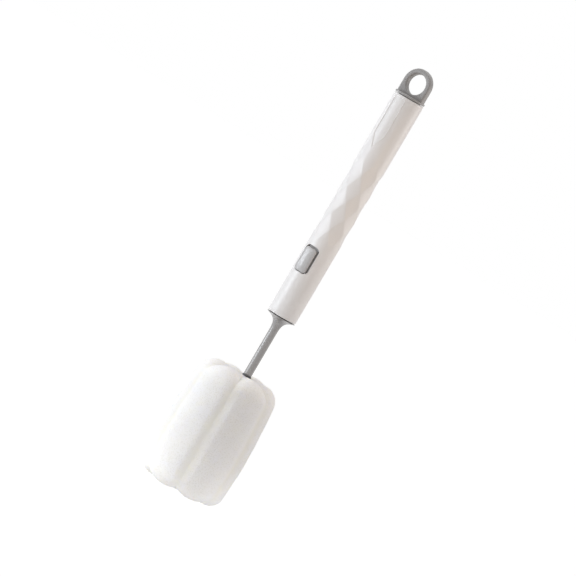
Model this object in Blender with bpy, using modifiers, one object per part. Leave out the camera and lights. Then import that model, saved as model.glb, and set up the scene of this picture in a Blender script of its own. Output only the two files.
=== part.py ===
"""Bottle brush with a faceted handle, a hanging loop, a release button and a lobed foam head.

The brush stands on its foam along +Z. The button and the panel face -Y.
Handle pieces are drawn from the handle's lower end, head pieces from the foam's lower end.
"""

import math

import bmesh
import bpy

# Clearances
FIT_GAP = 0.0003
FLANGE_GAP = 0.0007
CAP_GAP = 0.0005
BUTTON_GAP = 0.0011

# Handle tube
HANDLE_LENGTH = 0.1796
HANDLE_FOOT_RADIUS = 0.0113
HANDLE_TOP_RADIUS = 0.0118
HANDLE_EDGE = 0.0005
SEAT_BORE = 0.0092
LAND_BORE = 0.0086

# Diamond facets, in columns round the handle and rows along it
FACET_START = 0.0609
FACET_PITCH = 0.0218
FACET_ROWS = 3
FACET_COLUMNS = 12
FACET_DIVISIONS = 4
FACET_TURN = -math.tau / FACET_COLUMNS / FACET_DIVISIONS
LATTICE_NUDGE = 0.001

# Panel near the top of the handle
PANEL_TOP_MARGIN = 0.0017
PANEL_SIDE_LENGTH = 0.0302
PANEL_POINT_LENGTH = 0.0105
PANEL_HALF_WIDTH = 0.0047
PANEL_CORNER = 0.0012
PANEL_DEPTH = 0.0004

# Release button and its window
BUTTON_HEIGHT = 0.0442
WINDOW_LIFT = 0.0007
WINDOW_LENGTH = 0.0211
WINDOW_WIDTH = 0.0120
WINDOW_CORNER = 0.0033
BUTTON_RISE = 0.0016
BUTTON_ARCH = 0.055
BUTTON_ROUND = 0.0008
BUTTON_TRAVEL = 0.0018
LIP_OVERLAP = 0.0011
LIP_THICKNESS = 0.0015
LIP_HALF_WIDTH = 0.0042

# Latch spring, a hairpin of wire across the tang
LATCH_OFFSET = 0.0083
LATCH_WIRE = 0.00055
LATCH_BEND_OFFSET = 0.0020
LATCH_SPREAD_ROOM = 0.0012
WEDGE_THICKNESS = 0.0011
WEDGE_SLOPE = 0.67

# Button return spring
COIL_WIRE = 0.00035
COIL_RADIUS = 0.0026
COIL_TURNS = 6
COIL_LENGTH = 0.0098
BOSS_LENGTH = 0.0013

# Socket insert inside the handle
INSERT_WALL = 0.0015
INSERT_TOP_WALL = 0.0020
INSERT_EDGE = 0.0004

# Stem
TANG_RADIUS = 0.0036
TANG_LEAD = 0.0018
TANG_TIP = 0.0040
GROOVE_DEPTH = 0.0006
KEY_HALF_WIDTH = 0.0012
KEY_REACH = 0.0056
KEY_LENGTH = 0.0070
FLANGE_RADIUS = 0.0112
FLANGE_RIM = 0.0003
FLARE_DECAY = 0.0023
FLARE_LENGTH = 0.0115
FLARE_CROWDING = 1.6
ROD_RADIUS = 0.0031
NECK_LENGTH = 0.0490
SPIGOT_RADIUS = 0.0022
SPIGOT_LENGTH = 0.0420

# Core inside the foam
CORE_RADIUS = 0.0035
CORE_PROUD = 0.0011
CORE_FLOOR = 0.0125
RIB_RADIUS = 0.0078
RIB_THICKNESS = 0.0010
RIB_SLOPE = 0.0016
RIB_COUNT = 4
RIB_MARGIN = 0.0095

# Foam head
FOAM_LENGTH = 0.0957
FOAM_WAIST_RADIUS = 0.0334
FOAM_TOP_RADIUS = 0.0296
FOAM_FOOT_RADIUS = 0.0308
FOAM_WIDEST = 0.036
FOAM_LOBES = 6
FOAM_TOP_SHOULDER = 0.0108
FOAM_FOOT_SHOULDER = 0.0090
FOAM_FOOT_FLAT = 0.0060
FOAM_DIP = 0.0010
GROOVE_HALF_WIDTH = 0.0070
GROOVE_REACH = 0.0014
GROOVE_RIM = 0.32
GROOVE_BED = 0.25
GROOVE_FADE = 0.024
LOBE_TOP_DOME = 0.0042
LOBE_FOOT_DOME = 0.0030
LOBE_DOME_POWER = 2.4

# End cap with its hanging loop
COLLAR_HEIGHT = 0.0015
LOOP_FOOT = 0.0019
LOOP_HOLE_RADIUS = 0.0078
LOOP_BAND = 0.0039
LOOP_THICKNESS = 0.0055
LOOP_EDGE = 0.0008
LOOP_SINK = 0.0008
PLUG_LENGTH = 0.0140
PLUG_WALL = 0.0022

# Colours
SHELL_WHITE = (0.80, 0.79, 0.78)
CAP_GREY = (0.30, 0.293, 0.288)
STEM_GREY = (0.28, 0.272, 0.268)
BUTTON_GREY = (0.43, 0.425, 0.425)
INNER_GREY = (0.28, 0.28, 0.28)
STEEL = (0.55, 0.55, 0.57)
FOAM_WHITE = (0.93, 0.92, 0.905)

# Fineness of round shapes
ROUND_STEPS = 32
SMALL_STEPS = 24
CORNER_STEPS = 5
SMALL_CORNER_STEPS = 3
CROWN_STEPS = 8
BEND_STEPS = 12
FLARE_STEPS = 9
LOOP_STEPS = 20
LOOP_HOLE_STEPS = 28
SHOULDER_STEPS = 5
FOAM_BODY_STEPS = 6
GROOVE_STATIONS = (0.0, 0.22, 0.68, 0.85, 1.03)
COIL_POINTS_PER_TURN = 10
HANDLE_STEPS = FACET_COLUMNS * FACET_DIVISIONS
SHARP_ANGLE = math.radians(35)
RIM_ANGLE = math.radians(50)

# Derived sizes, from the handle's lower end
HANDLE_BASE = FOAM_LENGTH + NECK_LENGTH
FRONT = math.radians(-90)
FACET_HALF_PITCH = FACET_PITCH / 2
FACET_TOP = FACET_START + FACET_PITCH * FACET_ROWS
BUTTON_LENGTH = WINDOW_LENGTH - 2 * BUTTON_GAP
BUTTON_WIDTH = WINDOW_WIDTH - 2 * BUTTON_GAP
BUTTON_CORNER = WINDOW_CORNER - BUTTON_GAP
INSERT_RADIUS = SEAT_BORE - FIT_GAP
BUTTON_BACK = INSERT_RADIUS - LIP_THICKNESS
POCKET_FLOOR = BUTTON_BACK - BUTTON_TRAVEL - FIT_GAP
POCKET_HALF_LENGTH = WINDOW_LENGTH / 2 + LIP_OVERLAP + FIT_GAP
LATCH_HEIGHT = BUTTON_HEIGHT - LATCH_OFFSET
LATCH_LEG = TANG_RADIUS - GROOVE_DEPTH + FIT_GAP + LATCH_WIRE
LATCH_SLOT_HALF = LATCH_WIRE + FIT_GAP
TANG_LENGTH = LATCH_HEIGHT + TANG_TIP
TANG_BORE = TANG_RADIUS + FIT_GAP
TANG_BORE_LENGTH = TANG_LENGTH + FIT_GAP
COIL_HOLE_RADIUS = COIL_RADIUS + COIL_WIRE + FIT_GAP
COIL_HEIGHT = TANG_BORE_LENGTH + INSERT_WALL + COIL_HOLE_RADIUS
COIL_FRONT = BUTTON_BACK - FIT_GAP
INSERT_LENGTH = BUTTON_HEIGHT + POCKET_HALF_LENGTH + INSERT_TOP_WALL
PLUG_RADIUS = SEAT_BORE - FIT_GAP
LOOP_RADIUS = LOOP_HOLE_RADIUS + LOOP_BAND
COLLAR_TOP = HANDLE_LENGTH + CAP_GAP + COLLAR_HEIGHT
LOOP_CENTRE = COLLAR_TOP + LOOP_FOOT + LOOP_HOLE_RADIUS
PANEL_TOP = HANDLE_LENGTH - PANEL_TOP_MARGIN
CORE_TOP = FOAM_LENGTH - FOAM_DIP + CORE_PROUD
CORE_BORE = SPIGOT_RADIUS + FIT_GAP


def clear_scene():
    for old in list(bpy.data.objects):
        bpy.data.objects.remove(old, do_unlink=True)


def make_collection(name):
    collection = bpy.data.collections.new(name)
    bpy.context.scene.collection.children.link(collection)
    return collection


def make_material(name, colour, roughness, metallic=0.0):
    material = bpy.data.materials.new(name)
    material.use_nodes = True
    shader = material.node_tree.nodes["Principled BSDF"]
    shader.inputs["Base Color"].default_value = (*colour, 1.0)
    shader.inputs["Roughness"].default_value = roughness
    shader.inputs["Metallic"].default_value = metallic
    material.diffuse_color = (*colour, 1.0)
    return material


def make_datum(name, height):
    """An empty on the brush's axis that carries the pieces drawn from its height."""
    datum = bpy.data.objects.new(name, None)
    datum.location = (0, 0, height)
    PARTS.objects.link(datum)
    return datum


def add_object(name, mesh, datum, material=None):
    """A sub-part with a material, or a cutter without one."""
    piece = bpy.data.objects.new(name, mesh)
    piece.parent = datum
    if material:
        mesh.materials.append(material)
        PARTS.objects.link(piece)
    else:
        CUTTERS.objects.link(piece)
        piece.hide_render = True
        piece.display_type = "WIRE"
    return piece


def mesh_from(name, build):
    shape = bmesh.new()
    build(shape)
    mesh = bpy.data.meshes.new(name)
    shape.to_mesh(mesh)
    shape.free()
    return mesh


def applied_mesh(name, data, steps=0):
    """The mesh that a curve, or an edge profile with a Screw modifier, evaluates to."""
    maker = bpy.data.objects.new(name, data)
    bpy.context.scene.collection.objects.link(maker)
    if steps:
        screw = maker.modifiers.new("Turn", "SCREW")
        screw.steps = steps
        screw.render_steps = steps
        screw.use_merge_vertices = True
        screw.merge_threshold = 0.00001
    graph = bpy.context.evaluated_depsgraph_get()
    mesh = bpy.data.meshes.new_from_object(maker.evaluated_get(graph))
    mesh.name = name
    bpy.data.objects.remove(maker, do_unlink=True)
    return mesh


def smooth_round(mesh):
    mesh.shade_smooth()
    mesh.set_sharp_from_angle(angle=SHARP_ANGLE)


def turned_mesh(name, profile, steps, closed=False):
    """Turns (radius, height) points about Z. They run top to bottom down the outer side."""
    edges = [(i, i + 1) for i in range(len(profile) - 1)]
    if closed:
        edges.append((len(profile) - 1, 0))
    line = bpy.data.meshes.new(name + "_profile")
    line.from_pydata([(radius, 0, height) for radius, height in profile], edges, [])
    mesh = applied_mesh(name, line, steps)
    smooth_round(mesh)
    return mesh


def weld(mesh):
    shape = bmesh.new()
    shape.from_mesh(mesh)
    bmesh.ops.remove_doubles(shape, verts=shape.verts, dist=0.000001)
    shape.to_mesh(mesh)
    shape.free()


def outline_mesh(name, outlines, depth, edge=0.0):
    """Extrudes flat (x, z) outlines to a depth along Y, centred on Y = 0, with rounded edges."""
    curve = bpy.data.curves.new(name, "CURVE")
    curve.dimensions = "2D"
    curve.fill_mode = "BOTH"
    curve.extrude = depth / 2 - edge
    curve.bevel_depth = edge
    curve.bevel_resolution = 1
    curve.offset = -edge
    for outline in outlines:
        spline = curve.splines.new("POLY")
        spline.points.add(len(outline) - 1)
        for point, (x, z) in zip(spline.points, outline):
            point.co = (x, z, 0, 1)
        spline.use_cyclic_u = True
    mesh = applied_mesh(name, curve)
    weld(mesh)
    for vertex in mesh.vertices:
        x, z, y = vertex.co
        vertex.co = (x, -y, z)
    mesh.update()
    smooth_round(mesh)
    return mesh


def wire_mesh(name, points, radius, resolution):
    curve = bpy.data.curves.new(name, "CURVE")
    curve.dimensions = "3D"
    curve.bevel_depth = radius
    curve.bevel_resolution = resolution
    curve.use_fill_caps = True
    spline = curve.splines.new("POLY")
    spline.points.add(len(points) - 1)
    for point, place in zip(spline.points, points):
        point.co = (*place, 1)
    mesh = applied_mesh(name, curve)
    weld(mesh)
    smooth_round(mesh)
    return mesh


def box_mesh(name, low, high):
    def build(shape):
        bmesh.ops.create_cube(shape, size=1)
        for vertex in shape.verts:
            for axis in range(3):
                vertex.co[axis] = high[axis] if vertex.co[axis] > 0 else low[axis]

    return mesh_from(name, build)


def arc(centre, radius, start, end, count):
    """Points of an arc in a plane, with its ends, for angles in degrees."""
    points = []
    for i in range(count + 1):
        angle = math.radians(start + (end - start) * i / count)
        points.append((centre[0] + radius * math.cos(angle), centre[1] + radius * math.sin(angle)))
    return points


def rounded_outline(width, length, corner, centre=0.0):
    """A rounded rectangle in (x, z), centred on x = 0."""
    x = width / 2 - corner
    z = length / 2 - corner
    points = []
    for sign_x, sign_z, start in ((1, 1, 0), (-1, 1, 90), (-1, -1, 180), (1, -1, 270)):
        middle = (sign_x * x, centre + sign_z * z)
        points += arc(middle, corner, start, start + 90, CORNER_STEPS)
    return points


def combine(piece, operand, operation):
    modifier = piece.modifiers.new(operand.name, "BOOLEAN")
    modifier.operation = operation
    modifier.solver = "EXACT"
    modifier.object = operand


def cut(piece, name, mesh):
    cutter = add_object(name, mesh, piece.parent)
    combine(piece, cutter, "DIFFERENCE")
    return cutter


def join(piece, name, mesh):
    combine(piece, add_object(name, mesh, piece.parent), "UNION")


def move_mesh(mesh, offset):
    for vertex in mesh.vertices:
        vertex.co.x += offset[0]
        vertex.co.y += offset[1]
        vertex.co.z += offset[2]
    return mesh


def handle_radius(height):
    share = height / HANDLE_LENGTH
    return HANDLE_FOOT_RADIUS + (HANDLE_TOP_RADIUS - HANDLE_FOOT_RADIUS) * share


def facet_corner(column, row):
    """A corner of the diamond lattice, on the handle's round surface."""
    angle = FRONT + FACET_TURN + math.tau * column / FACET_COLUMNS
    height = FACET_START + FACET_HALF_PITCH * row
    radius = handle_radius(height)
    return (radius * math.cos(angle), radius * math.sin(angle), height)


def facet_place(column, row):
    """Where a lattice point lies on its dished diamond, or None outside the diamonds.

    A diamond's four corners lie on the handle's surface. Between them it is bilinear.
    """
    for nudge_a in (-LATTICE_NUDGE, LATTICE_NUDGE):
        for nudge_b in (-LATTICE_NUDGE, LATTICE_NUDGE):
            a = (row + column) / 2
            b = (row - column) / 2
            corner_a = math.floor(a + nudge_a)
            corner_b = math.floor(b + nudge_b)
            foot = corner_a + corner_b
            if foot < 0 or foot + 2 > 2 * FACET_ROWS:
                continue
            u = a - corner_a
            v = b - corner_b
            place = [0.0, 0.0, 0.0]
            for step_a, share_a in ((0, 1 - u), (1, u)):
                for step_b, share_b in ((0, 1 - v), (1, v)):
                    column_here = corner_a + step_a - corner_b - step_b
                    corner = facet_corner(column_here, foot + step_a + step_b)
                    for axis in range(3):
                        place[axis] += share_a * share_b * corner[axis]
            return place
    return None


def lattice_position(point):
    """The column and row of a point on the handle's round surface, before it is faceted."""
    angle = math.atan2(point.y, point.x) - FRONT - FACET_TURN
    column = angle / math.tau * FACET_COLUMNS
    row = (point.z - FACET_START) / FACET_HALF_PITCH
    column = round(column * FACET_DIVISIONS) / FACET_DIVISIONS
    row = round(row * FACET_DIVISIONS) / FACET_DIVISIONS
    return column, row


def facet_surface(shape):
    """Splits the facet zone's quads along the ridges and moves its points onto the diamonds."""
    zone = {}
    for vertex in shape.verts:
        outside = math.hypot(vertex.co.x, vertex.co.y) > (SEAT_BORE + HANDLE_FOOT_RADIUS) / 2
        if outside and FACET_START - FIT_GAP < vertex.co.z < FACET_TOP + FIT_GAP:
            zone[vertex] = lattice_position(vertex.co)
    for face in list(shape.faces):
        if len(face.verts) != 4 or not all(vertex in zone for vertex in face.verts):
            continue
        middle = face.calc_center_median()
        angle = math.atan2(middle.y, middle.x) - FRONT - FACET_TURN
        cell_column = math.floor(angle / math.tau * FACET_COLUMNS)
        cell_row = math.floor((middle.z - FACET_START) / FACET_HALF_PITCH)
        rising = (cell_column + cell_row) % 2 == 0
        corners = list(face.verts)
        low = min(vertex.co.z for vertex in corners)
        bottom = [vertex for vertex in corners if vertex.co.z - low < FIT_GAP]
        top = [vertex for vertex in corners if vertex.co.z - low >= FIT_GAP]
        bottom.sort(key=lambda vertex: turn_from(vertex.co, middle))
        top.sort(key=lambda vertex: turn_from(vertex.co, middle))
        ends = (bottom[0], top[1]) if rising else (bottom[1], top[0])
        bmesh.utils.face_split(face, ends[0], ends[1])
    for vertex, (column, row) in zone.items():
        place = facet_place(column, row)
        if place:
            vertex.co = place


def turn_from(point, middle):
    """The signed angle about Z from a middle point to a point."""
    turn = math.atan2(point.y, point.x) - math.atan2(middle.y, middle.x)
    return math.remainder(turn, math.tau)


def panel_outline():
    """A panel with straight sides and a pointed lower end, its corners rounded."""
    side_foot = PANEL_TOP - PANEL_SIDE_LENGTH
    point = side_foot - PANEL_POINT_LENGTH
    inner = PANEL_HALF_WIDTH - PANEL_CORNER
    corner_height = PANEL_TOP - PANEL_CORNER
    outline = arc((inner, corner_height), PANEL_CORNER, 0, 90, SMALL_CORNER_STEPS)
    outline += arc((-inner, corner_height), PANEL_CORNER, 90, 180, SMALL_CORNER_STEPS)
    outline += [(-PANEL_HALF_WIDTH, side_foot), (0, point), (PANEL_HALF_WIDTH, side_foot)]
    return outline


def handle_profile():
    """The tube's section: down its outer side, then up its bore with the two seats."""
    rows = 2 * FACET_ROWS * FACET_DIVISIONS
    profile = [(HANDLE_TOP_RADIUS - HANDLE_EDGE, HANDLE_LENGTH)]
    profile.append((HANDLE_TOP_RADIUS, HANDLE_LENGTH - HANDLE_EDGE))
    for i in range(rows + 1):
        height = FACET_TOP - (FACET_TOP - FACET_START) * i / rows
        profile.append((handle_radius(height), height))
    profile.append((HANDLE_FOOT_RADIUS, HANDLE_EDGE))
    profile.append((HANDLE_FOOT_RADIUS - HANDLE_EDGE, 0))
    profile.append((SEAT_BORE, 0))
    profile.append((SEAT_BORE, INSERT_LENGTH + FIT_GAP))
    profile.append((LAND_BORE, INSERT_LENGTH + FIT_GAP))
    profile.append((LAND_BORE, HANDLE_LENGTH - PLUG_LENGTH - FIT_GAP))
    profile.append((SEAT_BORE, HANDLE_LENGTH - PLUG_LENGTH - FIT_GAP))
    profile.append((SEAT_BORE, HANDLE_LENGTH))
    return profile


def build_handle(datum):
    mesh = turned_mesh("handle_shell", handle_profile(), HANDLE_STEPS, closed=True)
    shape = bmesh.new()
    shape.from_mesh(mesh)
    facet_surface(shape)
    shape.to_mesh(mesh)
    shape.free()
    white = make_material("white_shell", SHELL_WHITE, 0.38)
    handle = add_object("handle_shell", mesh, datum, white)
    wall_middle = -(HANDLE_FOOT_RADIUS + SEAT_BORE) / 2
    window_middle = BUTTON_HEIGHT + WINDOW_LIFT
    outline = rounded_outline(WINDOW_WIDTH, WINDOW_LENGTH, WINDOW_CORNER, window_middle)
    window = outline_mesh("window_cutter", [outline], 2 * HANDLE_FOOT_RADIUS - SEAT_BORE)
    cut(handle, "window_cutter", move_mesh(window, (0, wall_middle, 0)))
    panel = outline_mesh("panel_cutter", [panel_outline()], HANDLE_TOP_RADIUS)
    cutter = cut(handle, "panel_cutter", move_mesh(panel, (0, -HANDLE_TOP_RADIUS, 0)))
    core = [(0, HANDLE_LENGTH), (HANDLE_TOP_RADIUS - PANEL_DEPTH, HANDLE_LENGTH)]
    core += [(HANDLE_FOOT_RADIUS - PANEL_DEPTH, 0), (0, 0)]
    cut(cutter, "panel_floor", turned_mesh("panel_floor", core, HANDLE_STEPS))


def build_end_cap(datum):
    bore = PLUG_RADIUS - PLUG_WALL
    foot = HANDLE_LENGTH - PLUG_LENGTH
    seat = HANDLE_LENGTH + CAP_GAP
    profile = [
        (0, COLLAR_TOP),
        (HANDLE_TOP_RADIUS - HANDLE_EDGE, COLLAR_TOP),
        (HANDLE_TOP_RADIUS, COLLAR_TOP - HANDLE_EDGE),
        (HANDLE_TOP_RADIUS, seat),
        (PLUG_RADIUS, seat),
        (PLUG_RADIUS, foot),
        (bore, foot),
        (bore, HANDLE_LENGTH),
        (0, HANDLE_LENGTH),
    ]
    mesh = turned_mesh("end_cap", profile, HANDLE_STEPS)
    cap = add_object("end_cap", mesh, datum, make_material("dark_grey_cap", CAP_GREY, 0.42))
    foot_height = COLLAR_TOP - LOOP_SINK
    outline = arc((0, LOOP_CENTRE), LOOP_RADIUS, 0, 180, LOOP_STEPS)
    outline += [(-LOOP_RADIUS, foot_height), (LOOP_RADIUS, foot_height)]
    hole = arc((0, LOOP_CENTRE), LOOP_HOLE_RADIUS, 360, 0, LOOP_HOLE_STEPS)[:-1]
    join(cap, "loop_plate", outline_mesh("loop_plate", [outline, hole], LOOP_THICKNESS, LOOP_EDGE))


def build_socket_insert(datum):
    profile = [
        (0, INSERT_LENGTH),
        (INSERT_RADIUS - INSERT_EDGE, INSERT_LENGTH),
        (INSERT_RADIUS, INSERT_LENGTH - INSERT_EDGE),
        (INSERT_RADIUS, 0),
        (TANG_BORE, 0),
        (TANG_BORE, TANG_BORE_LENGTH),
        (0, TANG_BORE_LENGTH),
    ]
    mesh = turned_mesh("socket_insert", profile, ROUND_STEPS)
    insert = add_object("socket_insert", mesh, datum, make_material("insert_plastic", INNER_GREY, 0.5))
    half_width = WINDOW_WIDTH / 2
    low = (-half_width, -2 * INSERT_RADIUS, BUTTON_HEIGHT - POCKET_HALF_LENGTH)
    high = (half_width, -POCKET_FLOOR, BUTTON_HEIGHT + POCKET_HALF_LENGTH)
    cut(insert, "button_pocket", box_mesh("button_pocket", low, high))
    slot = LATCH_LEG + LATCH_WIRE + LATCH_SPREAD_ROOM
    slot_back = LATCH_BEND_OFFSET + LATCH_LEG + LATCH_WIRE + FIT_GAP
    low = (-slot, -INSERT_RADIUS, LATCH_HEIGHT - LATCH_SLOT_HALF)
    high = (slot, slot_back, LATCH_HEIGHT + LATCH_SLOT_HALF)
    cut(insert, "latch_slot", box_mesh("latch_slot", low, high))
    coil_back = COIL_LENGTH - COIL_FRONT + FIT_GAP
    disc = arc((0, COIL_HEIGHT), COIL_HOLE_RADIUS, 0, 360, SMALL_STEPS)[:-1]
    hole = outline_mesh("coil_hole", [disc], 2 * COIL_LENGTH)
    cut(insert, "coil_hole", move_mesh(hole, (0, coil_back - COIL_LENGTH, 0)))
    key_half = KEY_HALF_WIDTH + FIT_GAP
    low = (-key_half, 0, -INSERT_TOP_WALL)
    high = (key_half, KEY_REACH + FIT_GAP, KEY_LENGTH + FIT_GAP)
    cut(insert, "key_notch", box_mesh("key_notch", low, high))


def build_release_button(datum):
    """The button is drawn from its own height, with its slide along Y."""
    crown = handle_radius(BUTTON_HEIGHT) + BUTTON_RISE
    outline = rounded_outline(BUTTON_WIDTH, BUTTON_LENGTH, BUTTON_CORNER)
    depth = 2 * crown - BUTTON_BACK
    pad = outline_mesh("release_button", [outline], depth)
    grey = make_material("button_plastic", BUTTON_GREY, 0.35)
    button = add_object("release_button", move_mesh(pad, (0, -BUTTON_BACK - depth / 2, 0)), datum, grey)
    profile = [(0, BUTTON_LENGTH)]
    for i in range(-CROWN_STEPS, CROWN_STEPS + 1):
        height = -BUTTON_LENGTH * i / CROWN_STEPS
        profile.append((crown - BUTTON_ARCH + math.sqrt(BUTTON_ARCH**2 - height**2), height))
    profile.append((0, -BUTTON_LENGTH))
    barrel = turned_mesh("button_barrel", profile, 2 * HANDLE_STEPS)
    combine(button, add_object("button_barrel", barrel, datum), "INTERSECT")
    edge = button.modifiers.new("Rim", "BEVEL")
    edge.width = BUTTON_ROUND
    edge.segments = 2
    edge.limit_method = "ANGLE"
    edge.angle_limit = RIM_ANGLE
    lip_reach = WINDOW_LENGTH / 2 + LIP_OVERLAP
    low = (-LIP_HALF_WIDTH, -INSERT_RADIUS, -lip_reach)
    high = (LIP_HALF_WIDTH, -BUTTON_BACK, lip_reach)
    lips = add_object("button_lips", box_mesh("button_lips", low, high), datum)
    beyond = 2 * lip_reach
    guard = [(0, beyond), (INSERT_RADIUS, beyond), (INSERT_RADIUS, -beyond), (0, -beyond)]
    guard_mesh = turned_mesh("lip_guard", guard, HANDLE_STEPS)
    combine(lips, add_object("lip_guard", guard_mesh, datum), "INTERSECT")
    combine(button, lips, "UNION")
    join(button, "button_wedge", wedge_mesh())
    post = COIL_RADIUS - COIL_WIRE - 2 * FIT_GAP
    height = COIL_HEIGHT - BUTTON_HEIGHT
    disc = arc((0, height), post, 0, 360, SMALL_STEPS)[:-1]
    boss = outline_mesh("button_boss", [disc], 2 * BOSS_LENGTH)
    join(button, "button_boss", move_mesh(boss, (0, -BUTTON_BACK, 0)))


def wedge_mesh():
    """A tapered tongue that spreads the latch spring's legs as the button goes in."""
    tip = TANG_RADIUS + FIT_GAP + BUTTON_TRAVEL
    root = BUTTON_BACK + LIP_THICKNESS / 2
    tip_half = TANG_RADIUS - GROOVE_DEPTH - FIT_GAP / 2
    root_half = tip_half + WEDGE_SLOPE * (root - tip)

    def build(shape):
        bmesh.ops.create_cube(shape, size=1)
        for vertex in shape.verts:
            at_tip = vertex.co.y > 0
            half = tip_half if at_tip else root_half
            vertex.co.x = math.copysign(half, vertex.co.x)
            vertex.co.y = -tip if at_tip else -root
            vertex.co.z = math.copysign(WEDGE_THICKNESS / 2, vertex.co.z) - LATCH_OFFSET

    return mesh_from("button_wedge", build)


def build_latch_spring(datum):
    """A hairpin whose legs lie in the tang's groove, its bend behind the tang."""
    front = -POCKET_FLOOR
    points = [(LATCH_LEG, front), (LATCH_LEG, 0)]
    points += arc((0, LATCH_BEND_OFFSET), LATCH_LEG, 0, 180, BEND_STEPS)
    points += [(-LATCH_LEG, 0), (-LATCH_LEG, front)]
    route = [(x, y, LATCH_HEIGHT) for x, y in points]
    steel = make_material("latch_steel", STEEL, 0.3, 1.0)
    add_object("latch_spring", wire_mesh("latch_spring", route, LATCH_WIRE, 2), datum, steel)


def build_button_spring(datum):
    count = COIL_TURNS * COIL_POINTS_PER_TURN
    run = COIL_LENGTH - 2 * COIL_WIRE
    route = []
    for i in range(count + 1):
        angle = math.tau * i / COIL_POINTS_PER_TURN
        y = -COIL_FRONT + COIL_WIRE + run * i / count
        route.append((COIL_RADIUS * math.cos(angle), y, COIL_HEIGHT + COIL_RADIUS * math.sin(angle)))
    turn_gap = math.dist(route[0], route[COIL_POINTS_PER_TURN]) - 2 * COIL_WIRE
    print("button spring's gap between turns:", turn_gap)
    steel = make_material("spring_steel", STEEL, 0.3, 1.0)
    add_object("button_spring", wire_mesh("button_spring", route, COIL_WIRE, 1), datum, steel)


def flare_profile(top):
    """The trumpet under the flange: its radius dies away to the rod's."""
    points = []
    for i in range(FLARE_STEPS + 1):
        drop = FLARE_LENGTH * (i / FLARE_STEPS) ** FLARE_CROWDING
        radius = ROD_RADIUS + (FLANGE_RADIUS - ROD_RADIUS) * math.exp(-drop / FLARE_DECAY)
        points.append((radius, top - drop))
    return points


def build_stem(datum):
    """The stem is drawn from the foam's lower end."""
    tang_top = HANDLE_BASE + TANG_LENGTH
    latch = HANDLE_BASE + LATCH_HEIGHT
    groove = TANG_RADIUS - GROOVE_DEPTH
    flange_top = HANDLE_BASE - FLANGE_GAP
    shoulder = CORE_TOP + FIT_GAP
    profile = [(0, tang_top), (TANG_RADIUS - TANG_LEAD, tang_top), (TANG_RADIUS, tang_top - TANG_LEAD)]
    profile += [(TANG_RADIUS, latch + LATCH_SLOT_HALF), (groove, latch + LATCH_SLOT_HALF)]
    profile += [(groove, latch - LATCH_SLOT_HALF), (TANG_RADIUS, latch - LATCH_SLOT_HALF)]
    profile += [(TANG_RADIUS, flange_top), (FLANGE_RADIUS, flange_top)]
    profile += flare_profile(flange_top - FLANGE_RIM)
    profile += [(ROD_RADIUS, shoulder), (SPIGOT_RADIUS, shoulder)]
    profile += [(SPIGOT_RADIUS, shoulder - SPIGOT_LENGTH), (0, shoulder - SPIGOT_LENGTH)]
    mesh = turned_mesh("stem", profile, ROUND_STEPS)
    stem = add_object("stem", mesh, datum, make_material("grey_stem", STEM_GREY, 0.45))
    low = (-KEY_HALF_WIDTH, 0, flange_top - FLANGE_RIM / 2)
    high = (KEY_HALF_WIDTH, KEY_REACH, HANDLE_BASE + KEY_LENGTH)
    join(stem, "stem_key", box_mesh("stem_key", low, high))


def core_outer_profile(clearance):
    """The core's outer side from its mouth down to its closed end, stood off by a clearance."""
    radius = CORE_RADIUS + clearance
    rib = RIB_RADIUS + clearance
    points = [(radius, CORE_TOP)]
    first = CORE_FLOOR + RIB_MARGIN
    last = FOAM_LENGTH - FOAM_DIP - RIB_MARGIN
    for i in range(RIB_COUNT):
        foot = last - (last - first) * i / (RIB_COUNT - 1)
        top = foot + RIB_THICKNESS
        points += [(radius, top + RIB_SLOPE + clearance), (rib, top + clearance)]
        points += [(rib, foot - clearance), (radius, foot - clearance)]
    points += [(radius, CORE_FLOOR - clearance), (0, CORE_FLOOR - clearance)]
    return points


def build_foam_core(datum):
    bore_foot = CORE_TOP - SPIGOT_LENGTH
    profile = [(0, bore_foot), (CORE_BORE, bore_foot), (CORE_BORE, CORE_TOP)] + core_outer_profile(0)
    mesh = turned_mesh("foam_core", profile, SMALL_STEPS)
    add_object("foam_core", mesh, datum, make_material("core_plastic", INNER_GREY, 0.5))


def foam_envelope(height):
    """The foam's radius over its lobes at a height: widest low down, drawn in to both ends."""
    if height > FOAM_WIDEST:
        share = (height - FOAM_WIDEST) / (FOAM_LENGTH - FOAM_WIDEST)
        return FOAM_WAIST_RADIUS + (FOAM_TOP_RADIUS - FOAM_WAIST_RADIUS) * share**2
    share = (FOAM_WIDEST - height) / FOAM_WIDEST
    return FOAM_WAIST_RADIUS + (FOAM_FOOT_RADIUS - FOAM_WAIST_RADIUS) * share**2


def groove_closeness(distance):
    """1 in a groove's middle and 0 on the lobes: a V with a rounded rim and a rounded bed."""
    share = max(0.0, 1 - distance / GROOVE_HALF_WIDTH)
    whole = 1 - GROOVE_RIM / 2 - GROOVE_BED / 2
    if share < GROOVE_RIM:
        return share**2 / (2 * GROOVE_RIM) / whole
    if share < 1 - GROOVE_BED:
        return (share - GROOVE_RIM / 2) / whole
    return 1 - (1 - share) ** 2 / (2 * GROOVE_BED) / whole


def groove_share(height):
    """How much of a groove's depth is there at a height: it fades out at both ends."""
    share = min(1.0, min(height, FOAM_LENGTH - height) / GROOVE_FADE)
    return share * (2 - share)


def shoulder_sections(radius):
    """(height above the end, inset) of the rings round a shoulder, from the end inwards."""
    sections = []
    for i in range(SHOULDER_STEPS + 1):
        angle = math.pi / 2 * i / SHOULDER_STEPS
        sections.append((radius * (1 - math.cos(angle)), radius * (1 - math.sin(angle))))
    return sections


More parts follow.
